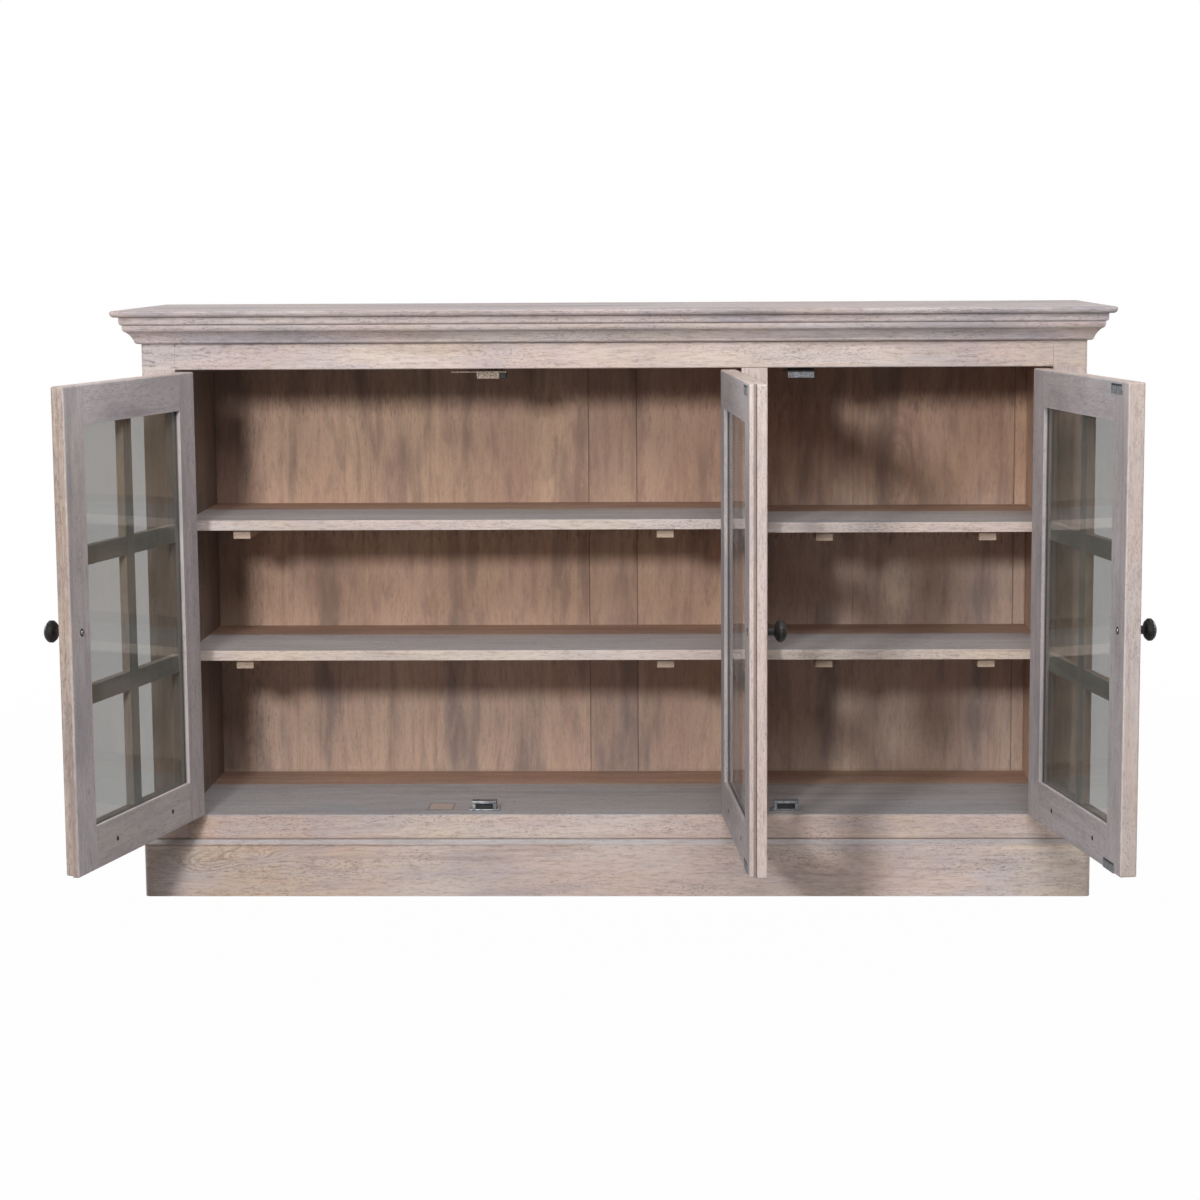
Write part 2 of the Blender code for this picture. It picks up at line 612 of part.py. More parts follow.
    def build_glazing(self):
        hold = GROOVE_DEPTH - GLASS_EDGE_PLAY
        low = (self.glass_left - hold, GROOVE_FRONT + CLEAR, self.glass_low - hold)
        high = (self.glass_right + hold, GROOVE_BACK - CLEAR, self.glass_high + hold)
        self.add("glass", self.box(low, high), PANE_GLASS)
        left, right = self.glass_left + CLEAR, self.glass_right - CLEAR
        low, high = self.glass_low + CLEAR, self.glass_high - CLEAR
        upright_left = (left + right - BAR_WIDTH) / 2
        upright_right = upright_left + BAR_WIDTH
        pane = (high - low - 2 * BAR_WIDTH) / 3
        cross = [low + pane, low + 2 * pane + BAR_WIDTH]
        outline = [(upright_right, low)]
        for z in cross:
            outline += [(upright_right, z), (right, z), (right, z + BAR_WIDTH), (upright_right, z + BAR_WIDTH)]
        outline += [(upright_right, high), (upright_left, high)]
        for z in reversed(cross):
            outline += [(upright_left, z + BAR_WIDTH), (left, z + BAR_WIDTH), (left, z), (upright_left, z)]
        outline.append((upright_left, low))
        outline = [(self.x(across), z) for across, z in outline]
        bars = self.add("glazing_bars", prism(outline, "Y", self.y(BAR_RECESS), self.y(GROOVE_FRONT)))
        front = self.y(BAR_RECESS)
        ends = (self.x(left), self.x(right))

        def outer_arris(a, b):
            at_frame = near(a.x, b.x) and any(near(a.x, end) for end in ends)
            at_frame = at_frame or (near(a.z, b.z) and (near(a.z, low) or near(a.z, high)))
            return near(a.y, front) and near(b.y, front) and not at_frame

        ease(bars, BAR_EASE, 1, outer_arris)

    def build_knob(self):
        """A mushroom head on a stem with a small foot, turned about an axis square to the door's face."""
        head_low = KNOB_PROJECTION - KNOB_HEAD_DEPTH
        middle = KNOB_PROJECTION - KNOB_HEAD_DEPTH / 2
        profile = []
        for step in range(KNOB_HEAD_POINTS):
            turn = math.pi / 2 * (1 - 2 * step / KNOB_HEAD_POINTS)
            profile.append((KNOB_DIAMETER / 2 * math.cos(turn), middle + KNOB_HEAD_DEPTH / 2 * math.sin(turn)))
        stem = KNOB_STEM_DIAMETER / 2
        profile += [(stem, head_low), (stem, KNOB_FOOT_DEPTH + CLEAR), (KNOB_FOOT_DIAMETER / 2, KNOB_FOOT_DEPTH),
                    (KNOB_FOOT_DIAMETER / 2, CLEAR), (0.0, CLEAR)]
        knob = turned(f"{self.name}_knob", profile, KNOB_STEPS, BLACK_IRON, self.pivot)
        knob.location = (self.x(DOOR_WIDTH - KNOB_FROM_EDGE), self.y(0.0), (DOOR_BOTTOM + DOOR_TOP) / 2)
        knob.rotation_euler = (math.pi / 2, 0.0, 0.0)


build_top()
build_cornice()
build_face_frame()
build_carcass()
build_back()
build_shelves()
build_plinth()
build_catches()
Door("door_left", 1, OPENING_LEFT, LEFT_DOOR_OPEN, "tongue").build()
Door("door_middle", -1, MIDDLE_LEFT, MIDDLE_DOOR_OPEN, "lip").build()
Door("door_right", -1, OPENING_RIGHT, RIGHT_DOOR_OPEN, "plain").build()
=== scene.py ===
import json
from math import cos, pi, radians, sin

import bmesh
import bpy
from mathutils import Matrix, Vector

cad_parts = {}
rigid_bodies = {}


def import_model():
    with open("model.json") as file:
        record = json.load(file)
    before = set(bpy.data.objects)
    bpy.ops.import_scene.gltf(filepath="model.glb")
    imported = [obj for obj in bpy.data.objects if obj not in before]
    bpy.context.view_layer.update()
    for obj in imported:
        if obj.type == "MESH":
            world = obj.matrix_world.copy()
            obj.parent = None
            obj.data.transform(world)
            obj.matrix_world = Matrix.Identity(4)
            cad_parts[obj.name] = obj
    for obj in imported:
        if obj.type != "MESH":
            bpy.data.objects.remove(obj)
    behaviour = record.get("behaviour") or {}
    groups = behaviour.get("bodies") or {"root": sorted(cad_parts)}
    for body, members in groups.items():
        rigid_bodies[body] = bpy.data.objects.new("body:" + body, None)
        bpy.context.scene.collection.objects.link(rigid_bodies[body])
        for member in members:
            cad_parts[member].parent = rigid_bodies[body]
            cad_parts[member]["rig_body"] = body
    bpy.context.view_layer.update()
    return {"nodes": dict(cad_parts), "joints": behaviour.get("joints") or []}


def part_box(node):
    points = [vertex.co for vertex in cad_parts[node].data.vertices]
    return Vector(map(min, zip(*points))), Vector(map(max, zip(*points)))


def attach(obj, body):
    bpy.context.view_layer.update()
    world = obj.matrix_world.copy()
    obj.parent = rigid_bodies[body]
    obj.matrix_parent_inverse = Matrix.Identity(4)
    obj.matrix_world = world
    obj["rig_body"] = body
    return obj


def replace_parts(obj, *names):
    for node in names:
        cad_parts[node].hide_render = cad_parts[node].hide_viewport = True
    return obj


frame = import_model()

nodes = frame["nodes"]
print("frame loaded:", len(nodes), "pieces")


class Flow:
    # one socket in a node tree; sums on it add Math nodes
    def __init__(self, tree, socket=None):
        self.tree = tree
        self.socket = socket

    def node(self, kind, settings={}, sockets={}, out=0):
        made = self.tree.nodes.new(kind)
        for name, value in settings.items():
            setattr(made, name, value)
        for key, value in sockets.items():
            if isinstance(value, Flow):
                self.tree.links.new(value.socket, made.inputs[key])
            else:
                made.inputs[key].default_value = value
        return Flow(self.tree, made.outputs[out])

    def other(self, name):
        return Flow(self.tree, self.socket.node.outputs[name])

    def maths(self, operation, first, second=0.0):
        return self.node("ShaderNodeMath", {"operation": operation}, {0: first, 1: second})

    def __add__(self, value):
        return self.maths("ADD", self, value)

    def __sub__(self, value):
        return self.maths("SUBTRACT", self, value)

    def __rsub__(self, value):
        return self.maths("SUBTRACT", value, self)

    def __mul__(self, value):
        return self.maths("MULTIPLY", self, value)

    def __truediv__(self, value):
        return self.maths("DIVIDE", self, value)

    def __pow__(self, value):
        return self.maths("POWER", self, value)

    __radd__ = __add__
    __rmul__ = __mul__

    def least(self, value):
        return self.maths("MINIMUM", self, value)

    def most(self, value):
        return self.maths("MAXIMUM", self, value)

    def above(self, value):
        return self.maths("GREATER_THAN", self, value)

    def size(self):
        return self.maths("ABSOLUTE", self)

    # 0 up to low, 1 from high on, smooth between
    def rise(self, low, high):
        smooth = {"interpolation_type": "SMOOTHSTEP"}
        return self.node("ShaderNodeMapRange", smooth, {0: self, 1: low, 2: high})

    # colours mixed by this value
    def blend(self, under, over):
        return self.node("ShaderNodeMix", {"data_type": "RGBA"}, {0: self, 6: under, 7: over}, 2)

    def noise(self, detail=2.0, roughness=0.5, scale=1.0):
        return self.node("ShaderNodeTexNoise", {}, {
            "Vector": self, "Scale": scale, "Detail": detail, "Roughness": roughness})

    # this finished shader as what the material or the world shows
    def show(self, output):
        self.tree.links.new(self.socket, self.tree.nodes[output].inputs["Surface"])


# a screen colour, 0 to 255, as the linear one that a socket takes
def tint(red, green, blue):
    linear = [((c / 255 + 0.055) / 1.055) ** 2.4 if c > 10 else c / 3294.6 for c in (red, green, blue)]
    return (*linear, 1.0)


def newMaterial(name):
    material = bpy.data.materials.new(name)
    material.use_nodes = True
    return material, material.node_tree, material.node_tree.nodes["Principled BSDF"]


def plug(tree, flow, shader, socket):
    tree.links.new(flow.socket, shader.inputs[socket])


def dress(name, material):
    nodes[name].data.materials.clear()
    nodes[name].data.materials.append(material)


# how each door swings shut from where it stands, so that its grain keeps to the door
doorSwing = {}
for joint in frame["joints"]:
    swing = Matrix.Rotation(radians(joint["axis"][2] * joint["range_deg"][0]), 4, "Z")
    pin = Matrix.Translation(joint["pos_m"])
    doorSwing[joint["child"]] = pin @ swing @ pin.inverted()


# corners of pieces with their door shut
def shutCorners(*names):
    corners = []
    for name in names:
        swing = doorSwing.get(nodes[name]["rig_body"], Matrix())
        corners += [swing @ v.co for v in nodes[name].data.vertices]
    return corners


def shutBox(*names):
    corners = shutCorners(*names)
    return [[pick(c[i] for c in corners) for i in range(3)] for pick in (min, max)]


# wood finishes: colours as seen in plain light, and how much of each mark shows
washedWood = {
    "pale": tint(211, 197, 191), "pink": tint(207, 185, 177),
    "straw": tint(209, 191, 165), "lilac": tint(176, 168, 173),
    "grain": tint(155, 134, 126), "speck": tint(90, 74, 67), "edge": tint(219, 207, 201),
    "strawShare": 0.6, "lilacShare": 0.5, "hueShare": 0.26, "ringShare": 0.18, "streakShare": 0.5,
    "fibreShare": 0.4, "mottleShare": 0.56, "speckShare": 0.42, "edgeShare": 0.3,
    "smudges": (4.0, 15.0), "rough": 0.58, "gloss": 0.4, "bump": 0.22,
}
greyedWood = {  # cornice and the flat of the top
    **washedWood,
    "pale": tint(203, 193, 194), "pink": tint(197, 178, 175),
    "straw": tint(199, 184, 170), "lilac": tint(163, 158, 167),
    "grain": tint(141, 126, 123), "speck": tint(86, 72, 69), "edge": tint(210, 200, 199),
    "strawShare": 0.5, "lilacShare": 0.7,
}
nosingWood = {
    **greyedWood,
    "pale": tint(208, 198, 198), "pink": tint(200, 184, 182),
    "straw": tint(200, 185, 175), "grain": tint(135, 120, 117),
}
shelfEdge = {
    **washedWood,
    "pale": tint(218, 205, 199), "pink": tint(212, 194, 187),
    "straw": tint(214, 198, 176), "lilac": tint(190, 180, 180),
}
brownWood = {  # inside of the carcass
    **washedWood,
    "pale": tint(212, 177, 156), "pink": tint(200, 164, 143),
    "straw": tint(221, 190, 161), "lilac": tint(146, 124, 113),
    "grain": tint(143, 115, 101), "speck": tint(88, 69, 61), "edge": tint(134, 110, 99),
    "strawShare": 0.65, "lilacShare": 0.88, "hueShare": 0.34, "ringShare": 0.15, "streakShare": 0.3,
    "fibreShare": 0.2, "mottleShare": 0.28, "speckShare": 0.12,
    "smudges": (2.2, 14.0), "rough": 0.56, "gloss": 0.22,
}
bareWood = {
    **brownWood,
    "pale": tint(186, 152, 133), "pink": tint(176, 141, 121),
    "straw": tint(186, 159, 135), "lilac": tint(147, 125, 116),
}
# finishes that are only laid over others, for which the colours are enough
greyWash = {
    "pale": tint(178, 176, 178), "pink": tint(172, 166, 167),
    "straw": tint(169, 163, 158), "lilac": tint(153, 152, 158),
    "grain": tint(138, 131, 132), "speck": tint(84, 77, 75), "edge": tint(179, 176, 176),
}
shelfWash = {
    "pale": tint(196, 193, 195), "pink": tint(189, 182, 183),
    "straw": tint(186, 179, 173), "lilac": tint(169, 167, 173),
    "grain": tint(152, 144, 145), "speck": tint(93, 85, 83), "edge": tint(197, 193, 193),
}
doorWash = {
    "pale": tint(193, 186, 189), "pink": tint(187, 178, 180),
    "straw": tint(187, 178, 173), "lilac": tint(142, 139, 146),
    "grain": tint(148, 139, 140), "speck": tint(91, 82, 81), "edge": tint(196, 190, 191),
}
barWash = {
    "pale": tint(222, 220, 222), "pink": tint(214, 208, 208),
    "straw": tint(212, 206, 198), "lilac": tint(186, 186, 192),
    "grain": tint(160, 156, 156), "speck": tint(104, 98, 96), "edge": tint(226, 222, 220),
}
# a paler wash, laid as painted light on the right end of the plinth
litPaleWood = {
    **washedWood,
    "pale": tint(233, 220, 214), "pink": tint(229, 207, 199),
    "straw": tint(230, 213, 188), "lilac": tint(192, 187, 195),
}
honeyWood = {
    "pale": tint(203, 180, 161), "pink": tint(200, 170, 150),
    "straw": tint(199, 174, 140), "lilac": tint(160, 148, 146),
    "grain": tint(128, 104, 92), "speck": tint(80, 63, 56), "edge": tint(208, 190, 176),
}
# a darker edge, laid as painted shade on the left door's free edge
shadedEdge = {
    **washedWood,
    "pale": tint(190, 175, 169), "pink": tint(182, 163, 156),
    "straw": tint(184, 165, 145), "lilac": tint(160, 150, 150), "grain": tint(122, 104, 97),
}
pinkEdge = {
    "pale": tint(215, 202, 198), "pink": tint(211, 191, 185),
    "straw": tint(208, 193, 182), "lilac": tint(186, 176, 178),
    "grain": tint(168, 150, 144), "speck": tint(132, 116, 110), "edge": tint(226, 216, 211),
}
battenWood = {
    "pale": tint(197, 175, 156), "pink": tint(191, 166, 148),
    "straw": tint(195, 171, 146), "lilac": tint(164, 148, 138),
    "grain": tint(146, 123, 109), "speck": tint(96, 76, 67), "edge": tint(183, 163, 147),
}
# a greyer brown, made paler as painted light, for low down on the back
greyAndLitBrown = {
    **brownWood,
    "pale": tint(221, 192, 174), "pink": tint(211, 180, 163),
    "straw": tint(223, 198, 177), "lilac": tint(156, 142, 139),
}
coolBrown = {
    **brownWood,
    "pale": tint(218, 197, 184), "pink": tint(208, 185, 172),
    "straw": tint(220, 202, 186), "lilac": tint(158, 147, 146),
}
# brown darkened as painted shade, for the inside of the left side and the left end of the back
shadedBrown = {
    "pale": tint(132, 115, 108), "pink": tint(124, 106, 99),
    "straw": tint(136, 119, 106), "lilac": tint(106, 95, 92),
    "grain": tint(98, 83, 77), "speck": tint(66, 55, 50), "edge": tint(96, 82, 76),
}
scarWood = {
    "pale": tint(192, 175, 168), "pink": tint(188, 168, 159),
    "straw": tint(188, 170, 158), "lilac": tint(174, 160, 154),
    "grain": tint(156, 134, 124), "speck": tint(120, 96, 84), "edge": tint(194, 180, 174),
}
# dark brown for real grime and flecks, and also for painted shade in creases, recesses and under the top rail
grimeAndShadeWood = {
    "pale": tint(112, 96, 88), "pink": tint(104, 88, 80),
    "straw": tint(112, 96, 82), "lilac": tint(92, 82, 80),
    "grain": tint(80, 66, 60), "speck": tint(58, 48, 44), "edge": tint(100, 86, 78),
}
toneNames = ("pale", "pink", "straw", "lilac", "grain", "speck", "edge")

# marks in the wood: how often they come in a metre along and across the grain, and where they show
marks = {
    "wash": {"rates": (3.2, 11.0), "detail": 3.0, "rough": 0.55, "shift": 0.0, "shows": (0.38, 0.62)},
    "straw": {"rates": (2.6, 9.0), "detail": 2.0, "rough": 0.5, "shift": 5.0, "shows": (0.45, 0.68)},
    "hue": {"rates": (16.0, 62.0), "detail": 3.0, "rough": 0.55, "shift": 33.0, "shows": (0.5, 0.68)},
    "streak": {"rates": (2.6, 70.0), "detail": 4.0, "rough": 0.6, "shift": 0.0, "shows": (0.5, 0.74)},
    "mottle": {"rates": (62.0, 260.0), "detail": 4.0, "rough": 0.62, "shift": 3.0, "shows": (0.5, 0.72)},
    "cluster": {"rates": (7.0, 26.0), "detail": 2.0, "rough": 0.5, "shift": 21.0, "shows": (0.42, 0.66)},
    "fibre": {"rates": (36.0, 460.0), "detail": 2.0, "rough": 0.55, "shift": 27.0, "shows": (0.5, 0.72)},
    "specks": {"rates": (190.0, 620.0), "detail": 1.0, "rough": 0.5, "shift": 17.0, "shows": (0.53, 0.70)},
    "smudge": {"detail": 3.0, "rough": 0.55, "shift": 9.0, "shows": (0.47, 0.67)},
}
bend = {"rates": (1.5, 6.0), "by": 0.02}
rings = {  # growth rings: how close, how far they wander, where their pith lies and how they lean
    "rate": 170.0, "detail": 2.0, "rough": 0.6, "shows": (0.45, 0.68), "most": 0.75, "wander": 0.03,
    "pith": (0.06, 0.05), "pithTurn": 7.1, "lean": (0.05, 0.03), "leanTurns": (12.9, 5.3),
    "knotWander": (0.14, 0.05), "knotFade": 2.718,
}
wear = {"ragged": 0.004, "width": (0.0003, 0.0036), "least": 0.3, "loneSpecks": 0.25}
bloom = {"shows": (0.54, 0.74), "share": 0.3}
seams = {"soft": 0.003, "width": (0.0005, 0.0016), "dark": 0.36, "alongShift": 1.37, "deepShift": 0.83}
feel = {  # what the marks add to the roughness and to the relief
    "streakRough": 0.22, "smudgeRough": 0.06, "speckRough": 0.1,
    "mottle": 0.45, "fibre": 0.3, "streak": 0.4, "specks": 0.7, "lines": 0.1, "height": 0.0011,
}
seedShifts = (1.71, 0.93, 2.37)  # each seed moves a board to wood of its own
grainAxes = {"x": (0, 2, 1), "y": (1, 2, 0), "z": (2, 0, 1)}  # which axes lie along, across and deep


# places and normals on a board, as they are with its door shut
def boardSpace(tree, name):
    spot = Flow(tree).node("ShaderNodeTexCoord", out="Object")
    normal = spot.other("Normal")
    swing = doorSwing.get(nodes[name]["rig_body"])
    if swing:
        turn = swing.to_euler()
        spot = spot.node("ShaderNodeMapping", {}, {
            "Vector": spot, "Location": swing.to_translation(), "Rotation": turn})
        normal = normal.node("ShaderNodeMapping", {"vector_type": "NORMAL"}, {
            "Vector": normal, "Rotation": turn})
    spot = spot.node("ShaderNodeSeparateXYZ", {}, {0: spot})
    normal = normal.node("ShaderNodeSeparateXYZ", {}, {0: normal})
    return {
        "x": spot, "y": spot.other("Y"), "z": spot.other("Z"),
        "nx": normal, "ny": normal.other("Y"), "nz": normal.other("Z"),
    }


# coats are (mask, finish) laid over the board; crossed is (mask, grain) where the grain runs another way
def dressWood(name, finish, grain, seed, coats=(), crossed=None, joints=(), shades=(), figures=(), span=None):
    material, tree, shader = newMaterial(name + "_wood")
    board = boardSpace(tree, name)
    xyz = [board["x"], board["y"], board["z"]]
    low, high = span or shutBox(name)
    order = grainAxes[grain]
    along, across, deep = [xyz[i] for i in order]
    place = along
    if crossed:
        where, way = crossed
        swap = where(board)
        along, across, deep = [xyz[i] + (xyz[j] - xyz[i]) * swap for i, j in zip(order, grainAxes[way])]
    # each plank of a glued panel is cut from elsewhere
    plank = 0
    for joint in joints:
        plank = plank + across.above(joint)
    if joints:
        along = along + plank * seams["alongShift"]
        deep = deep + plank * seams["deepShift"]

    def space(rates, a, d, shift=0.0):
        return along.node("ShaderNodeCombineXYZ", {}, {
            0: along * rates[0] + (seed * seedShifts[0] + shift),
            1: a * rates[1] + (seed * seedShifts[1] + shift),
            2: d * rates[1] + seed * seedShifts[2]})

    wander = space(bend["rates"], across, deep).noise() - 0.5
    bentAcross = across + wander * bend["by"]
    bentDeep = deep + wander * bend["by"]

    def field(mark, rates=None):
        look = marks[mark]
        at = space(rates or look["rates"], bentAcross, bentDeep, look["shift"])
        return at.noise(look["detail"], look["rough"])

    def shown(mark, flow):
        return flow.rise(*marks[mark]["shows"])

    # growth rings round a pith outside the board, swollen where there is a knot
    middle = [(low[i] + high[i]) / 2 for i in order]
    pithAcross = middle[1] + rings["pith"][0] * sin(seed * rings["pithTurn"])
    pithDeep = middle[2] + rings["pith"][1]
    leanAcross = rings["lean"][0] * sin(seed * rings["leanTurns"][0])
    leanDeep = rings["lean"][1] * cos(seed * rings["leanTurns"][1])
    fromAcross = bentAcross + wander * rings["wander"] - along * leanAcross - pithAcross
    fromDeep = bentDeep - along * leanDeep - pithDeep
    ring = (fromAcross ** 2.0 + fromDeep ** 2.0) ** 0.5
    swirl = 0
    for knot in figures:
        farAlong = (place + wander * rings["knotWander"][0] - knot["along"]) / knot["length"]
        farAcross = (bentAcross + wander * rings["knotWander"][1] - knot["across"]) / knot["width"]
        near = place.maths("POWER", rings["knotFade"], 0 - (farAlong ** 2.0 + farAcross ** 2.0))
        ring = ring + near * knot["swell"]
        swirl = swirl + near * knot["dark"]
    lines = ring.node("ShaderNodeTexNoise", {"noise_dimensions": "1D"}, {
        "W": ring * rings["rate"] + seed, "Scale": 1.0,
        "Detail": rings["detail"], "Roughness": rings["rough"]})
    lines = lines.rise(*rings["shows"])

    streak = field("streak")
    mottle = field("mottle")
    fibre = field("fibre")
    hue = field("hue")
    cluster = shown("cluster", field("cluster"))
    specks = shown("specks", field("specks")) * (cluster * (1 - wear["loneSpecks"]) + wear["loneSpecks"])
    smudge = shown("smudge", field("smudge", finish["smudges"]))
    board["ragged"] = mottle - 0.5
    board["patch"] = smudge
    masks = [(where(board), over) for where, over in coats]
    tones = {}
    for key in toneNames:
        tones[key] = finish[key]
        for mask, over in masks:
            tones[key] = mask.blend(tones[key], over[key])

    # worn arrises
    sides = [(xyz[i] - low[i]).least(high[i] - xyz[i]) for i in range(3)]
    arris = sides[0].least(sides[1]).most(sides[0].most(sides[1]).least(sides[2]))
    worn = 1 - (arris + board["ragged"] * wear["ragged"]).rise(*wear["width"])
    worn = worn * (cluster * (1 - wear["least"]) + wear["least"])

    colour = shown("wash", field("wash")).blend(tones["pink"], tones["pale"])
    colour = (shown("straw", field("straw")) * finish["strawShare"]).blend(colour, tones["straw"])
    colour = (smudge * finish["lilacShare"]).blend(colour, tones["lilac"])
    colour = (shown("hue", hue) * finish["hueShare"]).blend(colour, tones["straw"])
    colour = (shown("hue", 1 - hue) * finish["hueShare"]).blend(colour, tones["lilac"])
    figure = lines * (smudge * 0.5 + 0.5) * finish["ringShare"]
    if figures:
        figure = (figure + lines * swirl).least(rings["most"])
    colour = figure.blend(colour, tones["grain"])
    colour = (shown("streak", streak) * finish["streakShare"]).blend(colour, tones["grain"])
    colour = (shown("fibre", fibre) * finish["fibreShare"]).blend(colour, tones["grain"])
    colour = (shown("mottle", mottle) * finish["mottleShare"]).blend(colour, tones["grain"])
    colour = ((1 - mottle).rise(*bloom["shows"]) * bloom["share"]).blend(colour, tones["edge"])
    colour = (specks * finish["speckShare"]).blend(colour, tones["speck"])
    colour = (worn * finish["edgeShare"]).blend(colour, tones["edge"])
    if joints:
        # planks darken from one to the next, with a dark line at each open joint
        darker = 0
        for where, change in shades:
            darker = darker + across.rise(where - seams["soft"], where + seams["soft"]) * change
        colour = darker.blend(colour, tones["lilac"])
        gap = 1
        for joint in joints:
            gap = (across - joint).size().least(gap)
        colour = ((1 - gap.rise(*seams["width"])) * seams["dark"]).blend(colour, tones["speck"])
    plug(tree, colour, shader, "Base Color")
    shader.inputs["Specular IOR Level"].default_value = finish["gloss"]
    rough = finish["rough"] + (streak - 0.5) * feel["streakRough"] + smudge * feel["smudgeRough"]
    plug(tree, rough + specks * feel["speckRough"], shader, "Roughness")
    height = mottle * feel["mottle"] + fibre * feel["fibre"] + streak * feel["streak"]
    height = height - specks * feel["specks"] - lines * feel["lines"]
    bumps = height.node("ShaderNodeBump", {}, {
        "Strength": finish["bump"], "Distance": feel["height"], "Height": height})
    plug(tree, bumps, shader, "Normal")
    dress(name, material)


# masks for the coats: how far a face has to lean before a coat takes hold
leans = {"level": (0.45, 0.75), "upright": (0.4, 0.7)}


def upward(board):
    return board["nz"].rise(*leans["level"])


def downward(board):
    return (0 - board["nz"]).rise(*leans["level"])


def inward(board):
    return board["ny"].rise(*leans["upright"])


def facesRight(board):
    return board["nx"].rise(*leans["upright"])


def facesLeft(board):
    return (0 - board["nx"]).rise(*leans["upright"])


# a place on the board, shaken by the mottle so that what starts there has a ragged edge
def ragged(board, axis, by):
    return board[axis] + board["ragged"] * by


# heights and depths that the coats work from
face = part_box("frame_top_rail")[0][1]
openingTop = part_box("frame_top_rail")[0][2]
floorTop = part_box("floor_panel")[1][2]
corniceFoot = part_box("cornice_front")[0][2]
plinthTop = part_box("plinth_front")[1][2]

# top board and cornice
dressWood("top_board", nosingWood, "x", 1.0, [(upward, greyedWood)])
dressWood("cornice_front", greyedWood, "x", 2.0)
dressWood("cornice_left", greyedWood, "y", 3.0)
dressWood("cornice_right", greyedWood, "y", 4.0)

# face frame: the grain runs on from rail to stile
frameLook = {
    "seed": 5.0, "ragged": 0.002,
    "corniceGrimeAndShade": {"band": (-0.0032, -0.0006), "share": 0.7},
    "plinthGrimeAndShade": {"band": (0.0006, 0.0034), "share": 0.6},
    "greyCorner": {
        "x": (0.54, 0.69), "xRagged": 0.2, "z": (0.78, 0.83), "zRagged": 0.06, "share": 0.5, "leftMore": 0.4},
    "flecks": {"x": (-0.68, -0.5), "z": (0.79, 0.82), "shows": (0.05, 0.15), "share": 0.5},
    "warmLeft": {"x": (-0.58, -0.22), "ragged": 0.3, "clear": 0.6, "least": 0.25},
}


def railEnds(board):
    return board["z"].above(openingTop).most(1 - board["z"].above(floorTop))


# a dark band just under the cornice: grime, and painted shade in the crease between cornice and rail
def grimeAndShadeUnderCornice(board):
    look = frameLook["corniceGrimeAndShade"]
    band = [corniceFoot + step for step in look["band"]]
    return ragged(board, "z", frameLook["ragged"]).rise(*band) * look["share"]


# a dark band just above the plinth: grime, and painted shade in the crease between rail and plinth
def grimeAndShadeAbovePlinth(board):
    look = frameLook["plinthGrimeAndShade"]
    band = [plinthTop + step for step in look["band"]]
    return (1 - ragged(board, "z", frameLook["ragged"]).rise(*band)) * look["share"]


def greyCorner(board):
    look = frameLook["greyCorner"]
    sideways = (board["x"].size() + board["ragged"] * look["xRagged"]).rise(*look["x"])
    share = look["share"] + (1 - board["x"].above(0.0)) * look["leftMore"]
    return ragged(board, "z", look["zRagged"]).rise(*look["z"]) * sideways * share


def cornerFlecks(board):
    look = frameLook["flecks"]
    near = (1 - board["x"].rise(*look["x"])) * board["z"].rise(*look["z"])
    return near * board["ragged"].rise(*look["shows"]) * look["share"]


def warmLeft(board):
    look = frameLook["warmLeft"]
    share = (1 - board["patch"]) * look["clear"] + look["least"]
    return (1 - ragged(board, "x", look["ragged"]).rise(*look["x"])) * share


stileLow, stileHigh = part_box("frame_stile_left")[0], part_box("frame_stile_right")[1]
frameSpan = (list(stileLow), [stileHigh[0], stileHigh[1], corniceFoot])
frameCoats = [(upward, greyWash), (grimeAndShadeUnderCornice, grimeAndShadeWood), (grimeAndShadeAbovePlinth, grimeAndShadeWood)]
cornerCoats = frameCoats + [(greyCorner, doorWash), (cornerFlecks, grimeAndShadeWood)]
warmCoats = [(warmLeft, honeyWood)] + frameCoats
dressWood("frame_top_rail", washedWood, "x", frameLook["seed"], cornerCoats, span=frameSpan)
dressWood("frame_bottom_rail", washedWood, "x", frameLook["seed"], warmCoats, span=frameSpan)
for name in ("frame_stile_left", "frame_stile_right"):
    dressWood(name, washedWood, "z", frameLook["seed"], cornerCoats, crossed=(railEnds, "x"), span=frameSpan)
dressWood("frame_stile_middle", washedWood, "z", 7.0)

# sides: washed outside, brown within, the left one darkened within by painted shade
dressWood("side_panel_left", washedWood, "z", 8.0, [(facesRight, shadedBrown)])
dressWood("side_panel_right", washedWood, "z", 9.0, [(facesLeft, brownWood)])
dressWood("partition", brownWood, "z", 10.0)

# back: wide boards, greyer low down and paler there as painted light, cooler at the right, with painted shade
# at the left end and under the rail and shelf, and a paler line of filler along the foot
backLook = {
    "joints": (-0.051, 0.0275, 0.643),
    "shades": (
        (-0.295, 0.12), (-0.131, -0.1), (-0.051, 0.25), (0.0275, -0.15),
        (0.133, -0.08), (0.381, 0.02), (0.553, 0.05), (0.643, -0.2)),
    "filler": {"band": (0.1275, 0.1295), "ragged": 0.004, "share": 0.7},
    "lowDownGreyAndLit": {"band": (0.28, 0.42), "ragged": 0.1, "share": 0.8},
    "coolRight": {"x": (0.2, 0.26), "z": (0.5, 0.62), "ragged": 0.2, "share": 0.8},
    "leftEndShade": {"band": (-0.635, -0.575), "ragged": 0.12, "share": 0.55},
    "shadeUnder": {
        "rail": (0.71, 0.77), "shelf": (0.505, 0.55), "shelfFoot": 0.5575, "ragged": 0.12, "share": 0.42},
}
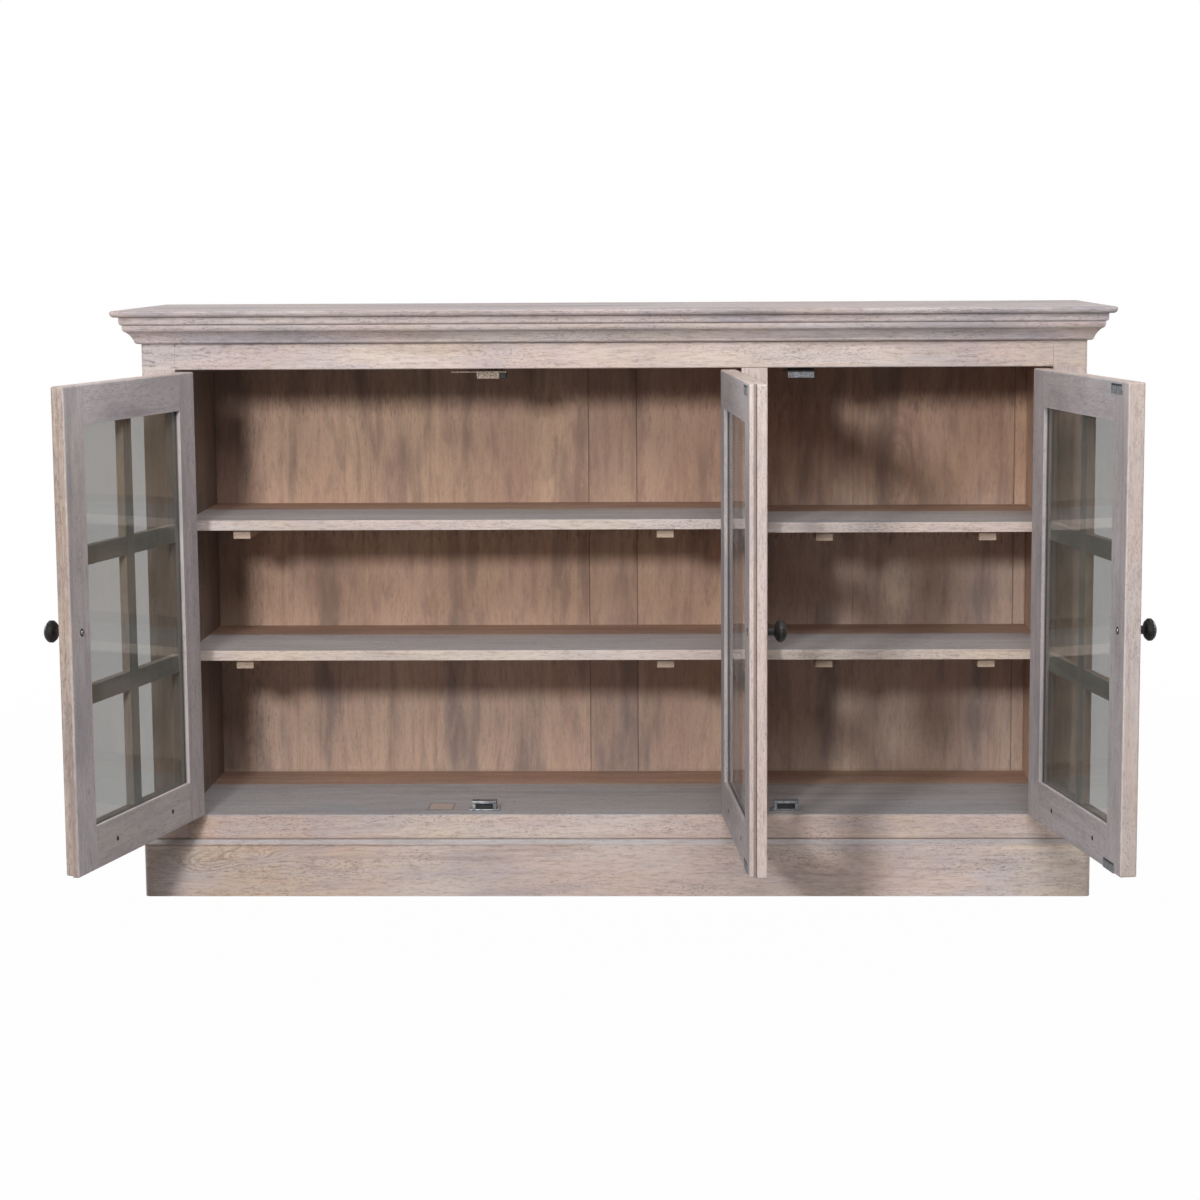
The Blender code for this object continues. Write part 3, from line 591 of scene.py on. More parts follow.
# a flame figure in the right bay, and two faint ones
backFigures = [
    {"along": 0.640, "across": 0.455, "length": 0.12, "width": 0.052, "swell": 0.060, "dark": 0.22},
    {"along": 0.60, "across": -0.42, "length": 0.16, "width": 0.06, "swell": 0.04, "dark": 0.1},
    {"along": 0.22, "across": -0.2, "length": 0.15, "width": 0.05, "swell": 0.04, "dark": 0.1},
]


def below(board, axis, look):
    return (1 - ragged(board, axis, look["ragged"]).rise(*look["band"])) * look["share"]


def filler(board):
    return below(board, "z", backLook["filler"])


# greyer low down, and paler there as painted light
def lowDownGreyAndLit(board):
    return below(board, "z", backLook["lowDownGreyAndLit"])


# painted shade at the left end of the back
def leftEndShade(board):
    return below(board, "x", backLook["leftEndShade"])


def coolRight(board):
    look = backLook["coolRight"]
    low = 1 - ragged(board, "z", look["ragged"]).rise(*look["z"])
    return board["x"].rise(*look["x"]) * low * look["share"]


# painted shade under the top rail and under the upper shelf
def shadeUnderRail(board):
    look = backLook["shadeUnder"]
    height = ragged(board, "z", look["ragged"])
    underShelf = height.rise(*look["shelf"]) * (1 - board["z"].above(look["shelfFoot"]))
    return (height.rise(*look["rail"]) + underShelf) * look["share"]


backCoats = [
    (lowDownGreyAndLit, greyAndLitBrown), (coolRight, coolBrown), (leftEndShade, shadedBrown),
    (shadeUnderRail, grimeAndShadeWood), (filler, battenWood)]
dressWood("back_panel", brownWood, "z", 40.0, backCoats,
          joints=backLook["joints"], shades=backLook["shades"], figures=backFigures)

# shelves and floor: grey wash on top, bare towards the rear, pale front edge
shelfLook = {"bare": (0.046, 0.058), "ragged": 0.012, "thick": 0.0154, "battenGap": 0.0006}
floorScar = {
    "low": (-0.292, -0.150), "high": (-0.254, -0.100), "soft": 0.003, "ragged": 0.003,
    "foreshorten": 0.5, "line": (0.0006, 0.0020), "lineShare": 0.5,
}
floorSpan = ([-0.6622, -0.185, 0.1], [0.6622, 0.1587, floorTop])  # on to the rail, whose grain it shares


def bareRear(board):
    return upward(board) * ragged(board, "y", shelfLook["ragged"]).rise(*shelfLook["bare"])


def battens(shelfTop):
    underside = shelfTop - shelfLook["thick"] - shelfLook["battenGap"]

    def mask(board):
        return 1 - board["z"].above(underside)

    return mask


def scarDepth(board):
    low, high = floorScar["low"], floorScar["high"]
    sideways = (board["x"] - low[0]).least(high[0] - board["x"])
    lengthways = (board["y"] - low[1]).least(high[1] - board["y"])
    return sideways.least(lengthways * floorScar["foreshorten"]) + board["ragged"] * floorScar["ragged"]


def scar(board):
    return upward(board) * scarDepth(board).rise(0, floorScar["soft"])


def scarLine(board):
    return upward(board) * (1 - scarDepth(board).size().rise(*floorScar["line"])) * floorScar["lineShare"]


shelves = {
    "shelf_left_upper": 12.0, "shelf_left_lower": 13.0, "shelf_right_upper": 14.0, "shelf_right_lower": 15.0}
for name, seed in shelves.items():
    under = battens(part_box(name)[1][2])
    dressWood(name, shelfEdge, "x", seed, [
        (upward, shelfWash), (downward, bareWood), (bareRear, bareWood), (under, battenWood)])
dressWood("floor_panel", washedWood, "x", frameLook["seed"], [
    (upward, greyWash), (bareRear, bareWood), (scar, scarWood), (scarLine, grimeAndShadeWood), (downward, bareWood)],
    span=floorSpan)

# plinth: a knotty board, greyed on its sloping top, greyer at its left end with painted shade, paler at the
# right as painted light, and painted shade in the crease behind the slope
plinthLook = {
    "rear": (-0.1885, -0.1868),
    "greyShadedEnd": {"band": (-0.69, -0.60), "ragged": 0.1, "share": 0.7},
    "litPaleEnd": {"band": (0.36, 0.52), "ragged": 0.2, "share": 0.8},
    "line": {
        "z": 0.0797, "ragged": 0.002, "width": (0.0006, 0.0018), "share": 0.5,
        "fades": (-0.45, 0.1), "fade": 0.7},
}
plinthFigures = [
    {"along": -0.640, "across": 0.046, "length": 0.046, "width": 0.016, "swell": 0.034, "dark": 0.5},
    {"along": -0.570, "across": 0.060, "length": 0.050, "width": 0.013, "swell": 0.040, "dark": 0.5},
    {"along": -0.500, "across": 0.080, "length": 0.080, "width": 0.013, "swell": 0.030, "dark": 0.5},
    {"along": -0.440, "across": 0.040, "length": 0.070, "width": 0.018, "swell": 0.026, "dark": 0.3},
    {"along": 0.330, "across": 0.040, "length": 0.140, "width": 0.020, "swell": 0.030, "dark": 0.25},
]


# painted shade in the crease at the back of the sloping top
def plinthRearShade(board):
    return upward(board) * board["y"].rise(*plinthLook["rear"])


# greyer at the left end, the grey partly painted shade
def greyShadedEnd(board):
    return below(board, "x", plinthLook["greyShadedEnd"])


# paler towards the right end, as painted light
def litPaleEnd(board):
    look = plinthLook["litPaleEnd"]
    return ragged(board, "x", look["ragged"]).rise(*look["band"]) * look["share"]


# a dark line under the slope that fades to the right
def plinthLine(board):
    look = plinthLook["line"]
    line = (1 - (ragged(board, "z", look["ragged"]) - look["z"]).size().rise(*look["width"])) * look["share"]
    return (1 - upward(board)) * line * (1 - board["x"].rise(*look["fades"]) * look["fade"])


dressWood("plinth_front", washedWood, "x", 20.0, [
    (warmLeft, honeyWood), (litPaleEnd, litPaleWood), (greyShadedEnd, greyedWood),
    (upward, shelfWash), (plinthRearShade, grimeAndShadeWood), (plinthLine, grimeAndShadeWood)], figures=plinthFigures)
dressWood("plinth_left", washedWood, "y", 21.0, [(upward, greyWash)])
dressWood("plinth_right", washedWood, "y", 22.0, [(upward, greyWash)])
dressWood("plinth_bearer", bareWood, "y", 23.0)

# doors: washed outside and on the edges, greyer within
doorLook = {
    "thick": 0.024, "lip": 0.004, "barWidth": 0.0265, "rim": 0.02, "seed": 24.0, "seedStep": 5,
    "strip": {"y": -0.169, "ragged": 0.001, "width": (0.0016, 0.0026), "share": 0.6},
    "glassLine": {"band": (0.0012, 0.0022), "ragged": 0.001, "share": 0.8},
}
doorInside = face + doorLook["thick"]
doorGrain = {"hinge_stile": "z", "free_stile": "z", "top_rail": "x", "bottom_rail": "x"}


# painted shade on the inward step behind the lip of each free stile
def lipStepShade(board):
    return inward(board) * (1 - board["y"].above(doorInside - doorLook["lip"]))


# painted shade: a dark strip down the middle door's free edge, in its rebate
def rebateShadeStrip(board):
    look = doorLook["strip"]
    off = (ragged(board, "y", look["ragged"]) - look["y"]).size()
    return facesLeft(board) * (1 - off.rise(*look["width"])) * look["share"]


# edges round the panes: greyed, with a dark line against the glass
def roundPanes(box, glassRear):
    low, high = box

    def edge(board):
        sideways = (board["x"] - low[0]).least(high[0] - board["x"])
        inside = sideways.least((board["z"] - low[2]).least(high[2] - board["z"]))
        return (1 - board["ny"].size().rise(*leans["upright"])) * inside.above(doorLook["rim"])

    def line(board):
        look = doorLook["glassLine"]
        band = [glassRear + step for step in look["band"]]
        return edge(board) * (1 - ragged(board, "y", look["ragged"]).rise(*band)) * look["share"]

    return [(edge, doorWash), (line, grimeAndShadeWood)]


def crossBars(middle):
    def mask(board):
        return (board["x"] - middle).size().above(doorLook["barWidth"] / 2)

    return mask


# the left door's free edge is darkened as painted shade
freeEdges = {
    "left": [(facesRight, shadedEdge)],
    "middle": [(facesLeft, pinkEdge), (rebateShadeStrip, grimeAndShadeWood)],
    "right": [(facesLeft, pinkEdge)],
}
for door, side in enumerate(("left", "middle", "right")):
    prefix = "door_" + side + "_"
    seed = doorLook["seed"] + door * doorLook["seedStep"]
    glassRear = shutBox(prefix + "glass")[1][1]
    paneCoats = roundPanes(shutBox(*[prefix + part for part in doorGrain]), glassRear)
    for number, (part, grain) in enumerate(doorGrain.items()):
        coats = [(inward, doorWash)] + paneCoats
        if part == "free_stile":
            coats = coats + [(lipStepShade, grimeAndShadeWood)] + freeEdges[side]
        dressWood(prefix + part, washedWood, grain, seed + number, coats)
    bars = shutBox(prefix + "glazing_bars")
    acrossBars = crossBars((bars[0][0] + bars[1][0]) / 2)
    dressWood(prefix + "glazing_bars", washedWood, "z", seed + len(doorGrain), [(inward, barWash)],
              crossed=(acrossBars, "x"))
print("wood dressed")

# smoky panes that let the light through; a look through one meets its cover twice
paneLook = {
    "colour": tint(60, 67, 53), "cover": 0.49, "rough": 0.04, "coat": 1.0, "shade": (0.88, 0.89, 0.88, 1.0)}
glass, tree, shader = newMaterial("pane_glass")
shader.inputs["Base Color"].default_value = paneLook["colour"]
shader.inputs["Roughness"].default_value = paneLook["rough"]
shader.inputs["Alpha"].default_value = paneLook["cover"]
shader.inputs["Coat Weight"].default_value = paneLook["coat"]
clear = Flow(tree).node("ShaderNodeBsdfTransparent", {}, {"Color": paneLook["shade"]})
shadowRay = Flow(tree).node("ShaderNodeLightPath", out="Is Shadow Ray")
smoky = Flow(tree, shader.outputs[0])
shadowRay.node("ShaderNodeMixShader", {}, {0: shadowRay, 1: smoky, 2: clear}).show("Material Output")

# metals: cloudy stains, scuffs and a fine bump
metalMarks = {
    "scuffDetail": 3.0, "scuffRough": 0.65, "stained": (0.35, 0.65), "scuffed": (0.58, 0.75),
    "scuffShare": 0.4, "roughMore": 0.25, "height": 0.0005,
}


def metal(name, look):
    material, tree, shader = newMaterial(name)
    spot = Flow(tree).node("ShaderNodeTexCoord", out="Object")
    scuff = spot.noise(metalMarks["scuffDetail"], metalMarks["scuffRough"], look["scuffs"])
    stain = spot.noise(scale=look["stains"])
    colour = stain.rise(*metalMarks["stained"]).blend(look["colour"], look["stained"])
    colour = (scuff.rise(*metalMarks["scuffed"]) * metalMarks["scuffShare"]).blend(colour, look["worn"])
    plug(tree, colour, shader, "Base Color")
    plug(tree, look["rough"] + scuff * metalMarks["roughMore"], shader, "Roughness")
    shader.inputs["Metallic"].default_value = look["metallic"]
    shader.inputs["Specular IOR Level"].default_value = look["gloss"]
    bumps = scuff.node("ShaderNodeBump", {}, {
        "Strength": look["bump"], "Distance": metalMarks["height"], "Height": scuff})
    plug(tree, bumps, shader, "Normal")
    return material


iron = metal("black_iron", {
    "colour": tint(29, 28, 28), "stained": tint(42, 40, 38), "worn": tint(60, 57, 54),
    "scuffs": 260.0, "stains": 70.0, "rough": 0.36, "metallic": 0.4, "gloss": 0.3, "bump": 0.3})
steel = metal("dull_steel", {
    "colour": tint(150, 148, 144), "stained": tint(112, 106, 98), "worn": tint(176, 174, 170),
    "scuffs": 420.0, "stains": 60.0, "rough": 0.3, "metallic": 0.9, "gloss": 0.5, "bump": 0.2})
brightSteel = metal("bright_steel", {
    "colour": tint(164, 165, 169), "stained": tint(110, 112, 117), "worn": tint(216, 216, 216),
    "scuffs": 500.0, "stains": 160.0, "rough": 0.24, "metallic": 0.75, "gloss": 0.5, "bump": 0.15})
plateSteel = metal("plate_steel", {
    "colour": tint(138, 141, 146), "stained": tint(104, 107, 113), "worn": tint(176, 178, 180),
    "scuffs": 420.0, "stains": 180.0, "rough": 0.4, "metallic": 0.35, "gloss": 0.5, "bump": 0.2})
magnetBlack = metal("magnet_black", {
    "colour": tint(40, 39, 39), "stained": tint(30, 29, 29), "worn": tint(64, 60, 58),
    "scuffs": 500.0, "stains": 140.0, "rough": 0.5, "metallic": 0.1, "gloss": 0.4, "bump": 0.3})
tanCase = metal("tan_case", {
    "colour": tint(198, 182, 166), "stained": tint(128, 108, 94), "worn": tint(228, 220, 212),
    "scuffs": 620.0, "stains": 380.0, "rough": 0.5, "metallic": 0.0, "gloss": 0.4, "bump": 0.3})

for name in nodes:
    if name.endswith("_glass"):
        dress(name, glass)
    elif name.endswith("_knob"):
        dress(name, iron)
    elif name.endswith("_leaf"):
        dress(name, steel)
print("glass and metal dressed")


# small fittings are made where they sit with the doors shut, and swung open with their door
def fitting(name, body, slot, shape, *materials):
    if body in doorSwing:
        bmesh.ops.transform(shape, matrix=doorSwing[body].inverted(), verts=shape.verts)
    bmesh.ops.recalc_face_normals(shape, faces=shape.faces)
    mesh = bpy.data.meshes.new(name)
    shape.to_mesh(mesh)
    shape.free()
    for material in materials:
        mesh.materials.append(material)
    piece = bpy.data.objects.new(name, mesh)
    bpy.context.scene.collection.objects.link(piece)
    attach(piece, body)
    return piece


def easeEdges(shape, edges, by):
    bmesh.ops.bevel(shape, geom=edges, offset=by, segments=2, profile=0.5, affect="EDGES")


def block(shape, low, high, ease, paint=0):
    old = set(shape.faces)
    made = bmesh.ops.create_cube(shape, size=1.0)["verts"]
    for v in made:
        v.co = Vector((low[i] if v.co[i] < 0 else high[i]) for i in range(3))
    easeEdges(shape, list({edge for v in made for edge in v.link_edges}), ease)
    for f in set(shape.faces) - old:
        f.material_index = paint


# a flat plate in x and z with rounded corners, its back at y
def plate(shape, at, width, height, thick, corner, paint=0, steps=4, easeShare=0.3):
    old = set(shape.faces)
    outline = []
    for across, up, first in ((1, 1, 0), (-1, 1, 90), (-1, -1, 180), (1, -1, 270)):
        x = at[0] + across * (width / 2 - corner)
        z = at[2] + up * (height / 2 - corner)
        for k in range(steps + 1):
            turn = radians(first + 90 * k / steps)
            outline.append(shape.verts.new((x + corner * cos(turn), at[1], z + corner * sin(turn))))
    raised = bmesh.ops.extrude_face_region(shape, geom=[shape.faces.new(outline)])["geom"]
    front = [g for g in raised if isinstance(g, bmesh.types.BMVert)]
    for v in front:
        v.co.y += thick
    near = {edge for v in front for edge in v.link_edges}
    rim = [edge for edge in near if all(v in front for v in edge.verts)]
    easeEdges(shape, rim, thick * easeShare)
    for f in set(shape.faces) - old:
        f.material_index = paint


# how across, up and out lie for a shape that points along "x", "y" or "z"
def pointing(axis, across, up, out):
    return Vector({"x": (out, across, up), "y": (across, out, up), "z": (across, up, out)}[axis])


# a turned shape, its profile given as (radius, out)
def lathe(shape, middle, profile, sides, axis="y", paint=0):
    hoops = []
    for radius, out in profile:
        if radius == 0:
            spokes = [(0, 0)]
        else:
            turns = [2 * pi * k / sides for k in range(sides)]
            spokes = [(radius * cos(turn), radius * sin(turn)) for turn in turns]
        hoops.append([shape.verts.new(Vector(middle) + pointing(axis, u, v, out)) for u, v in spokes])
    for one, two in zip(hoops, hoops[1:]):
        for k in range(sides):
            corners = [one[k % len(one)], one[(k + 1) % len(one)], two[(k + 1) % len(two)], two[k % len(two)]]
            shape.faces.new(list(dict.fromkeys(corners))).material_index = paint
    if len(hoops[0]) > 1:
        shape.faces.new(hoops[0]).material_index = paint


# a domed screw head with a cross cut in it, in shares of its radius and of how far it stands out
screwLook = {
    "profile": ((1, -0.4), (1, 0.3), (0.86, 0.7), (0.5, 0.94), (0, 1)), "sides": 20,
    "slotArm": 0.55, "slotHalf": 0.11, "slotFoot": 0.5, "slotTop": 1.01, "slotEase": (0.3, 0.1),
}


def screw(shape, middle, radius, proud, axis="y"):
    look = screwLook
    profile = [(radius * wide, proud * out) for wide, out in look["profile"]]
    lathe(shape, middle, profile, look["sides"], axis)
    arm, half = radius * look["slotArm"], radius * look["slotHalf"]
    ease = min(half * look["slotEase"][0], abs(proud) * look["slotEase"][1])
    for across, up in ((arm, half), (half, arm)):
        foot = Vector(middle) + pointing(axis, -across, -up, proud * look["slotFoot"])
        top = Vector(middle) + pointing(axis, across, up, proud * look["slotTop"])
        low, high = ([pick(foot[i], top[i]) for i in range(3)] for pick in (min, max))
        block(shape, low, high, ease, 1)


# knob screws on dark washers and plugs on the insides of the doors; profiles are (share of the radius, out)
knobScrew = {
    "fromHinge": 0.396, "height": 0.466, "radius": 0.0034, "proud": 0.0018, "lift": 0.0003,
    "washer": ((1.6, -0.0004), (1.6, 0.0003), (1.45, 0.0005), (0, 0.0005)), "sides": 20,
}
railPlugs = {
    "fromHinge": (0.118, 0.305), "height": 0.157, "radius": 0.0036,
    "profile": ((1, -0.0004), (1, 0.0002), (0.7, 0.0003), (0.6, 0.0001), (0, 0.0001)), "sides": 18,
}
strike = {
    "fromHinge": 0.377, "heights": {"upper": 0.7948, "lower": 0.1343}, "sunk": 0.0002,
    "width": 0.046, "tall": 0.0145, "thick": 0.0011, "corner": 0.0022,
    "slotRise": 0.36, "slotWidth": 0.9, "slotTall": 0.2, "slotProud": 0.0001, "slotCorner": 0.0008,
    "screwDrop": 0.0012, "screwRadius": 0.0030, "screwProud": 0.0005,
}


def strikePlate(shape, x, z):
    look = strike
    rear = doorInside - look["sunk"]
    plate(shape, (x, rear, z), look["width"], look["tall"], look["thick"], look["corner"])
    slotZ = z + look["tall"] * look["slotRise"]
    slotWidth, slotTall = look["width"] * look["slotWidth"], look["tall"] * look["slotTall"]
    slotThick = look["thick"] + look["slotProud"]
    plate(shape, (x, rear, slotZ), slotWidth, slotTall, slotThick, look["slotCorner"], 1)
    middle = (x, doorInside + look["thick"] * 0.5, z - look["screwDrop"])
    screw(shape, middle, look["screwRadius"], look["screwProud"])


# where each door starts, and which way it runs
hingeEdge = {"left": (-0.6583, 1), "middle": (0.1923, -1), "right": (0.6583, -1)}
for side, (start, way) in hingeEdge.items():
    body = side + "_door"
    shape = bmesh.new()
    x = start + way * knobScrew["fromHinge"]
    washer = [(knobScrew["radius"] * wide, out) for wide, out in knobScrew["washer"]]
    lathe(shape, (x, doorInside, knobScrew["height"]), washer, knobScrew["sides"], paint=1)
    middle = (x, doorInside + knobScrew["lift"], knobScrew["height"])
    screw(shape, middle, knobScrew["radius"], knobScrew["proud"])
    fitting("door_" + side + "_knob_screw", body, "dull_steel", shape, brightSteel, magnetBlack)
    shape = bmesh.new()
    disc = [(railPlugs["radius"] * wide, out) for wide, out in railPlugs["profile"]]
    for far in railPlugs["fromHinge"]:
        lathe(shape, (start + way * far, doorInside, railPlugs["height"]), disc, railPlugs["sides"])
    fitting("door_" + side + "_rail_plugs", body, "black_iron", shape, magnetBlack)
    if side == "left":
        continue  # the middle door's lip holds it
    for end, height in strike["heights"].items():
        shape = bmesh.new()
        strikePlate(shape, start + way * strike["fromHinge"], height)
        fitting("door_" + side + "_strike_" + end, body, "dull_steel", shape, plateSteel, magnetBlack)

# three countersunk screws in each hinge leaf, on the side that looks at the gap
leafScrews = {
    "radius": 0.0030, "proud": 0.0001, "spread": 0.0210, "outerIn": 0.0075, "middleIn": 0.0115,
    "plateFrom": -0.1850,
}
for name in [n for n in nodes if n.endswith("_leaf")]:
    look = leafScrews
    body = nodes[name]["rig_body"]
    flat = [c for c in shutCorners(name) if c.y > look["plateFrom"]]
    way = 1 if ("_left_" in name) == (body == "carcass") else -1
    outer = max(way * c.x for c in flat) * way
    rear = max(c.y for c in flat)
    middle = (min(c.z for c in flat) + max(c.z for c in flat)) / 2
    shape = bmesh.new()
    for step in (-1, 0, 1):
        y = rear - (look["outerIn"] if step else look["middleIn"])
        screw(shape, (outer, y, middle + step * look["spread"]), look["radius"], look["proud"] * way, "x")
    fitting(name + "_screws", body, "dull_steel", shape, brightSteel, magnetBlack)
print("door fittings made")

# magnetic catches: a case on a seat, a magnet in its mouth, and screws; heights run from where it is fixed
floorCatch = {
    "neck": 0.0, "seat": 0.0022, "wall": 0.0036, "side": 0.0052, "mouth": 0.0030,
    "ears": (0.0052, 0.0052), "screwRadius": 0.0023, "screwProud": 0.0016,
}
topCatch = {
    "neck": 0.0212, "seat": 0.0236, "wall": 0.0017, "side": 0.0014, "mouth": 0.0012, "ears": (0.0075, 0.0010),
}
catchMake = {
    "frontGap": 0.0002, "rearGap": 0.0005, "ease": 0.0004, "magnetEase": 0.0005,
    "lap": 0.0004, "neckLap": 0.0003, "neckIn": 0.004, "wallLap": 0.5, "magnetLap": 0.8,
}


def boxedCatch(name, look, case, seat, magnet, up):
    make = catchMake
    low, high = (Vector(c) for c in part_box(name))
    fixed = low.z if up else high.z
    way = 1 if up else -1

    def slab(shape, x0, x1, y0, z0, z1, ease, paint=0):
        foot, top = sorted((fixed + way * z0, fixed + way * z1))
        block(shape, (x0, y0, foot), (x1, high.y - make["rearGap"], top), ease, paint)

    tall = high.z - low.z
    wall, side = look["wall"], look["side"]
    left, right = low.x + look["ears"][0], high.x - look["ears"][1]
    front = low.y + make["frontGap"]
    inner = look["seat"] - make["lap"]
    shape = bmesh.new()
    slab(shape, low.x, high.x, front, look["neck"], look["seat"], make["ease"], 1)
    if look["neck"]:
        slab(shape, left, right, front + make["neckIn"], 0.0, look["neck"] + make["neckLap"], make["ease"], 1)
    slab(shape, left, right, front, tall - wall, tall, make["ease"])
    for x0, x1 in ((left, left + side), (right - side, right)):
        slab(shape, x0, x1, front, inner, tall - wall * make["wallLap"], make["ease"])
    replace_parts(fitting(name + "_case", "carcass", "dull_steel", shape, case, seat), name)
    shape = bmesh.new()
    within = side * make["magnetLap"]
    slab(shape, left + within, right - within, front + look["mouth"],
         inner, tall - wall * make["magnetLap"], make["magnetEase"])
    fitting(name + "_magnet", "carcass", "black_iron", shape, magnet)
    if up:
        shape = bmesh.new()
        y = (front + high.y - make["rearGap"]) / 2
        for x in ((low.x + left) / 2, (high.x + right) / 2):
            screw(shape, (x, y, fixed + look["seat"]), look["screwRadius"], look["screwProud"], "z")
        fitting(name + "_screws", "carcass", "dull_steel", shape, brightSteel, magnetBlack)


boxedCatch("catch_left_floor", floorCatch, brightSteel, brightSteel, magnetBlack, True)
boxedCatch("catch_right_floor", floorCatch, plateSteel, plateSteel, magnetBlack, True)
boxedCatch("catch_right_top", topCatch, brightSteel, iron, plateSteel, False)

# the upper left one: a tan case with a black magnet at its end, under a thin plate that runs on to the left
tanCatch = {
    "plateTop": 0.8030, "plateFoot": 0.8002, "plateIn": (0.0003, 0.0004), "plateEase": 0.0006,
    "mountFront": -0.1500, "mountIn": 0.004, "lap": 0.0004,
    "caseEnd": -0.1722, "caseIn": 0.003, "caseDepth": (0.0010, 0.0012), "caseEase": 0.0012,
    "magnetDepth": (0.0004, 0.0010), "magnetFoot": 0.0006, "magnetTop": 0.0002, "magnetEase": 0.0008,
    "poles": (0.0050, 0.0130), "poleX": (0.0060, 0.0045), "poleWide": 0.0016, "poleTop": 0.0006,
    "poleEase": 0.0003, "stripFrom": -0.2460, "stripLap": 0.006, "stripDepth": (0.0010, 0.0110),
    "stripThin": (0.0002, 0.0003), "stripEase": 0.0005,
}


def tanMagnet(name):
    look = tanCatch
    low, high = (Vector(c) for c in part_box(name))
    foot, top = look["plateFoot"], look["plateTop"]
    shape = bmesh.new()
    block(shape, (low.x + look["mountIn"], look["mountFront"], top - look["lap"]),
          (high.x - look["mountIn"], high.y, high.z), look["plateEase"])
    block(shape, (low.x, low.y + look["plateIn"][0], foot),
          (high.x, high.y - look["plateIn"][1], top), look["plateEase"])
    block(shape, (low.x + look["caseIn"], low.y + look["caseDepth"][0], low.z),
          (look["caseEnd"], high.y - look["caseDepth"][1], foot + look["lap"]), look["caseEase"])
    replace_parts(fitting(name + "_case", "carcass", "catch_block", shape, tanCase), name)
    shape = bmesh.new()
    block(shape, (look["caseEnd"] - look["lap"], low.y + look["magnetDepth"][0], low.z + look["magnetFoot"]),
          (high.x, high.y - look["magnetDepth"][1], foot - look["magnetTop"]), look["magnetEase"])
    for pole in look["poles"]:
        y = low.y + pole
        block(shape, (high.x - look["poleX"][0], y, low.z),
              (high.x - look["poleX"][1], y + look["poleWide"], foot - look["poleTop"]), look["poleEase"])
    fitting(name + "_magnet", "carcass", "black_iron", shape, magnetBlack)
    shape = bmesh.new()
    y0, y1 = (low.y + depth for depth in look["stripDepth"])
    block(shape, (look["stripFrom"], y0, foot + look["stripThin"][0]),
          (low.x + look["stripLap"], y1, top - look["stripThin"][1]), look["stripEase"])
    fitting(name + "_strip", "carcass", "catch_block", shape, tanCase)


tanMagnet("catch_left_top")
print("catches made")

# floor and background, white to the eye
floorLook = {
    "colour": tint(120, 118, 116), "rough": 0.9, "white": 0.985, "half": 14.0, "fade": (0.9, 3.2),
}
plainWhite = (1.0, 1.0, 1.0, 1.0)


def seenDirectly(tree):
    rays = Flow(tree).node("ShaderNodeLightPath", out="Is Camera Ray")
    return rays.most(rays.other("Is Glossy Ray")).most(rays.other("Is Transmission Ray"))


mesh = bpy.data.meshes.new("floor")
shape = bmesh.new()
bmesh.ops.create_grid(shape, x_segments=2, y_segments=2, size=floorLook["half"])
shape.to_mesh(mesh)
shape.free()
floor = bpy.data.objects.new("floor", mesh)
bpy.context.scene.collection.objects.link(floor)
floorPaint, tree, shader = newMaterial("pale_floor")
shader.inputs["Base Color"].default_value = floorLook["colour"]
shader.inputs["Roughness"].default_value = floorLook["rough"]
white = Flow(tree).node("ShaderNodeEmission", {}, {"Color": plainWhite, "Strength": 1.0})
# whiter away from the piece, so that no horizon shows
spot = white.node("ShaderNodeTexCoord", out="Object")
away = spot.node("ShaderNodeVectorMath", {"operation": "LENGTH"}, {0: spot}, "Value").rise(*floorLook["fade"])
share = seenDirectly(tree) * (floorLook["white"] + away * (1 - floorLook["white"]))
paint = Flow(tree, shader.outputs[0])
share.node("ShaderNodeMixShader", {}, {0: share, 1: paint, 2: white}).show("Material Output")
mesh.materials.append(floorPaint)

roomLight = {"ambient": 0.05, "colour": plainWhite}
world = bpy.data.worlds.new("studio")
bpy.context.scene.world = world
world.use_nodes = True
tree = world.node_tree
dim = Flow(tree).node("ShaderNodeBackground", {}, {
    "Color": roomLight["colour"], "Strength": roomLight["ambient"]})
bright = Flow(tree).node("ShaderNodeBackground", {}, {"Color": plainWhite, "Strength": 1.0})
share = seenDirectly(tree)
share.node("ShaderNodeMixShader", {}, {0: share, 1: dim, 2: bright}).show("World Output")

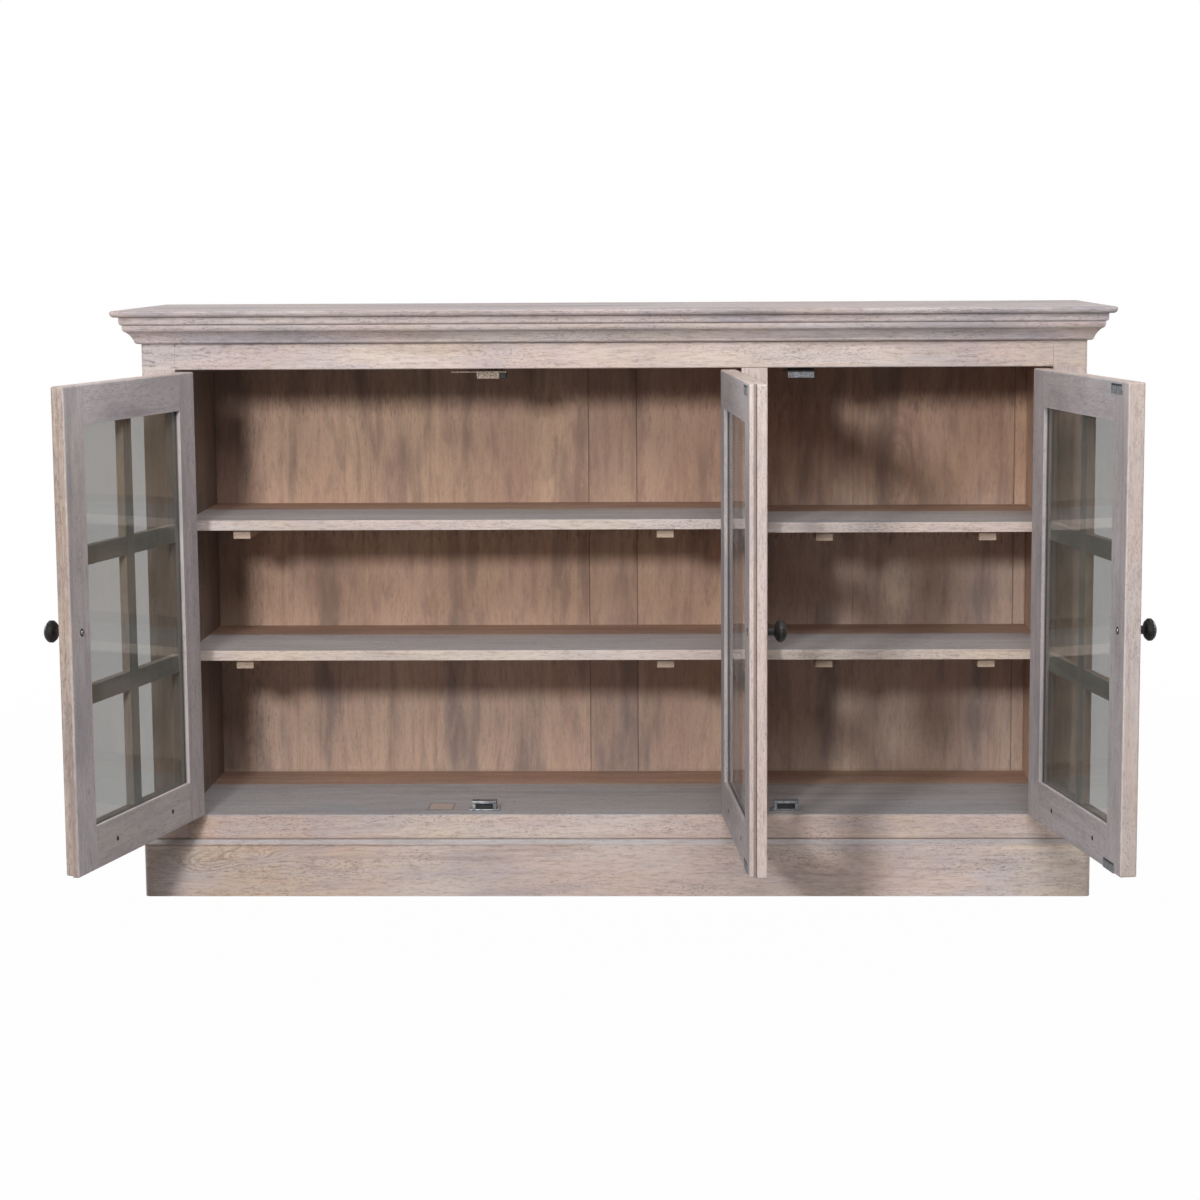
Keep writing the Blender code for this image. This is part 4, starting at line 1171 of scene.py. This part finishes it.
# a small lamp in front to the left, a wide one above the front, a dim one overhead, and two behind
lamps = {
    "front": {
        "at": (-0.8, -3.0, 1.4), "aim": (0.0, 0.0, 0.45), "size": 0.32, "watts": 44.0,
        "colour": (1.0, 0.99, 0.98)},
    "above": {"at": (0.2, -2.6, 2.6), "aim": (0.0, 0.0, 0.4), "size": 2.0, "watts": 61.0},
    "overhead": {"at": (0.0, -0.6, 3.3), "aim": (0.0, 0.0, 0.9), "size": 3.0, "watts": 12.0},
    "rearLeft": {"at": (-3.2, 1.8, 1.4), "aim": (0.0, 0.0, 0.4), "size": 2.0, "watts": 95.0},
    "rearRight": {"at": (3.2, 1.8, 1.4), "aim": (0.0, 0.0, 0.4), "size": 2.0, "watts": 95.0},
}
for name, lamp in lamps.items():
    light = bpy.data.lights.new(name + "_lamp", "AREA")
    light.shape = "DISK"
    light.size = lamp["size"]
    light.energy = lamp["watts"]
    light.color = lamp.get("colour", plainWhite[:3])
    carrier = bpy.data.objects.new(name + "_lamp", light)
    carrier.location = lamp["at"]
    carrier.rotation_euler = (Vector(lamp["aim"]) - Vector(lamp["at"])).to_track_quat("-Z", "Y").to_euler()
    bpy.context.scene.collection.objects.link(carrier)

# the photograph's viewpoint
viewpoint = {
    "at": (0.12901, -4.26853, 0.99731), "left": 0.0220, "down": 0.13165, "roll": -0.00535,
    "lens": 81.455, "sensor": 36.0, "shift": (-0.03333, 0.0),
}
lens = bpy.data.cameras.new("front_view")
lens.sensor_width = viewpoint["sensor"]
lens.lens = viewpoint["lens"]
lens.shift_x, lens.shift_y = viewpoint["shift"]
camera = bpy.data.objects.new("front_view", lens)
turn = Matrix.Rotation(viewpoint["left"], 4, "Z")
tilt = Matrix.Rotation(pi / 2 - viewpoint["down"], 4, "X") @ Matrix.Rotation(viewpoint["roll"], 4, "Z")
camera.matrix_world = Matrix.Translation(viewpoint["at"]) @ turn @ tilt
bpy.context.scene.collection.objects.link(camera)
bpy.context.scene.camera = camera
bpy.context.scene.view_settings.view_transform = "Standard"
print("floor, light and camera set")
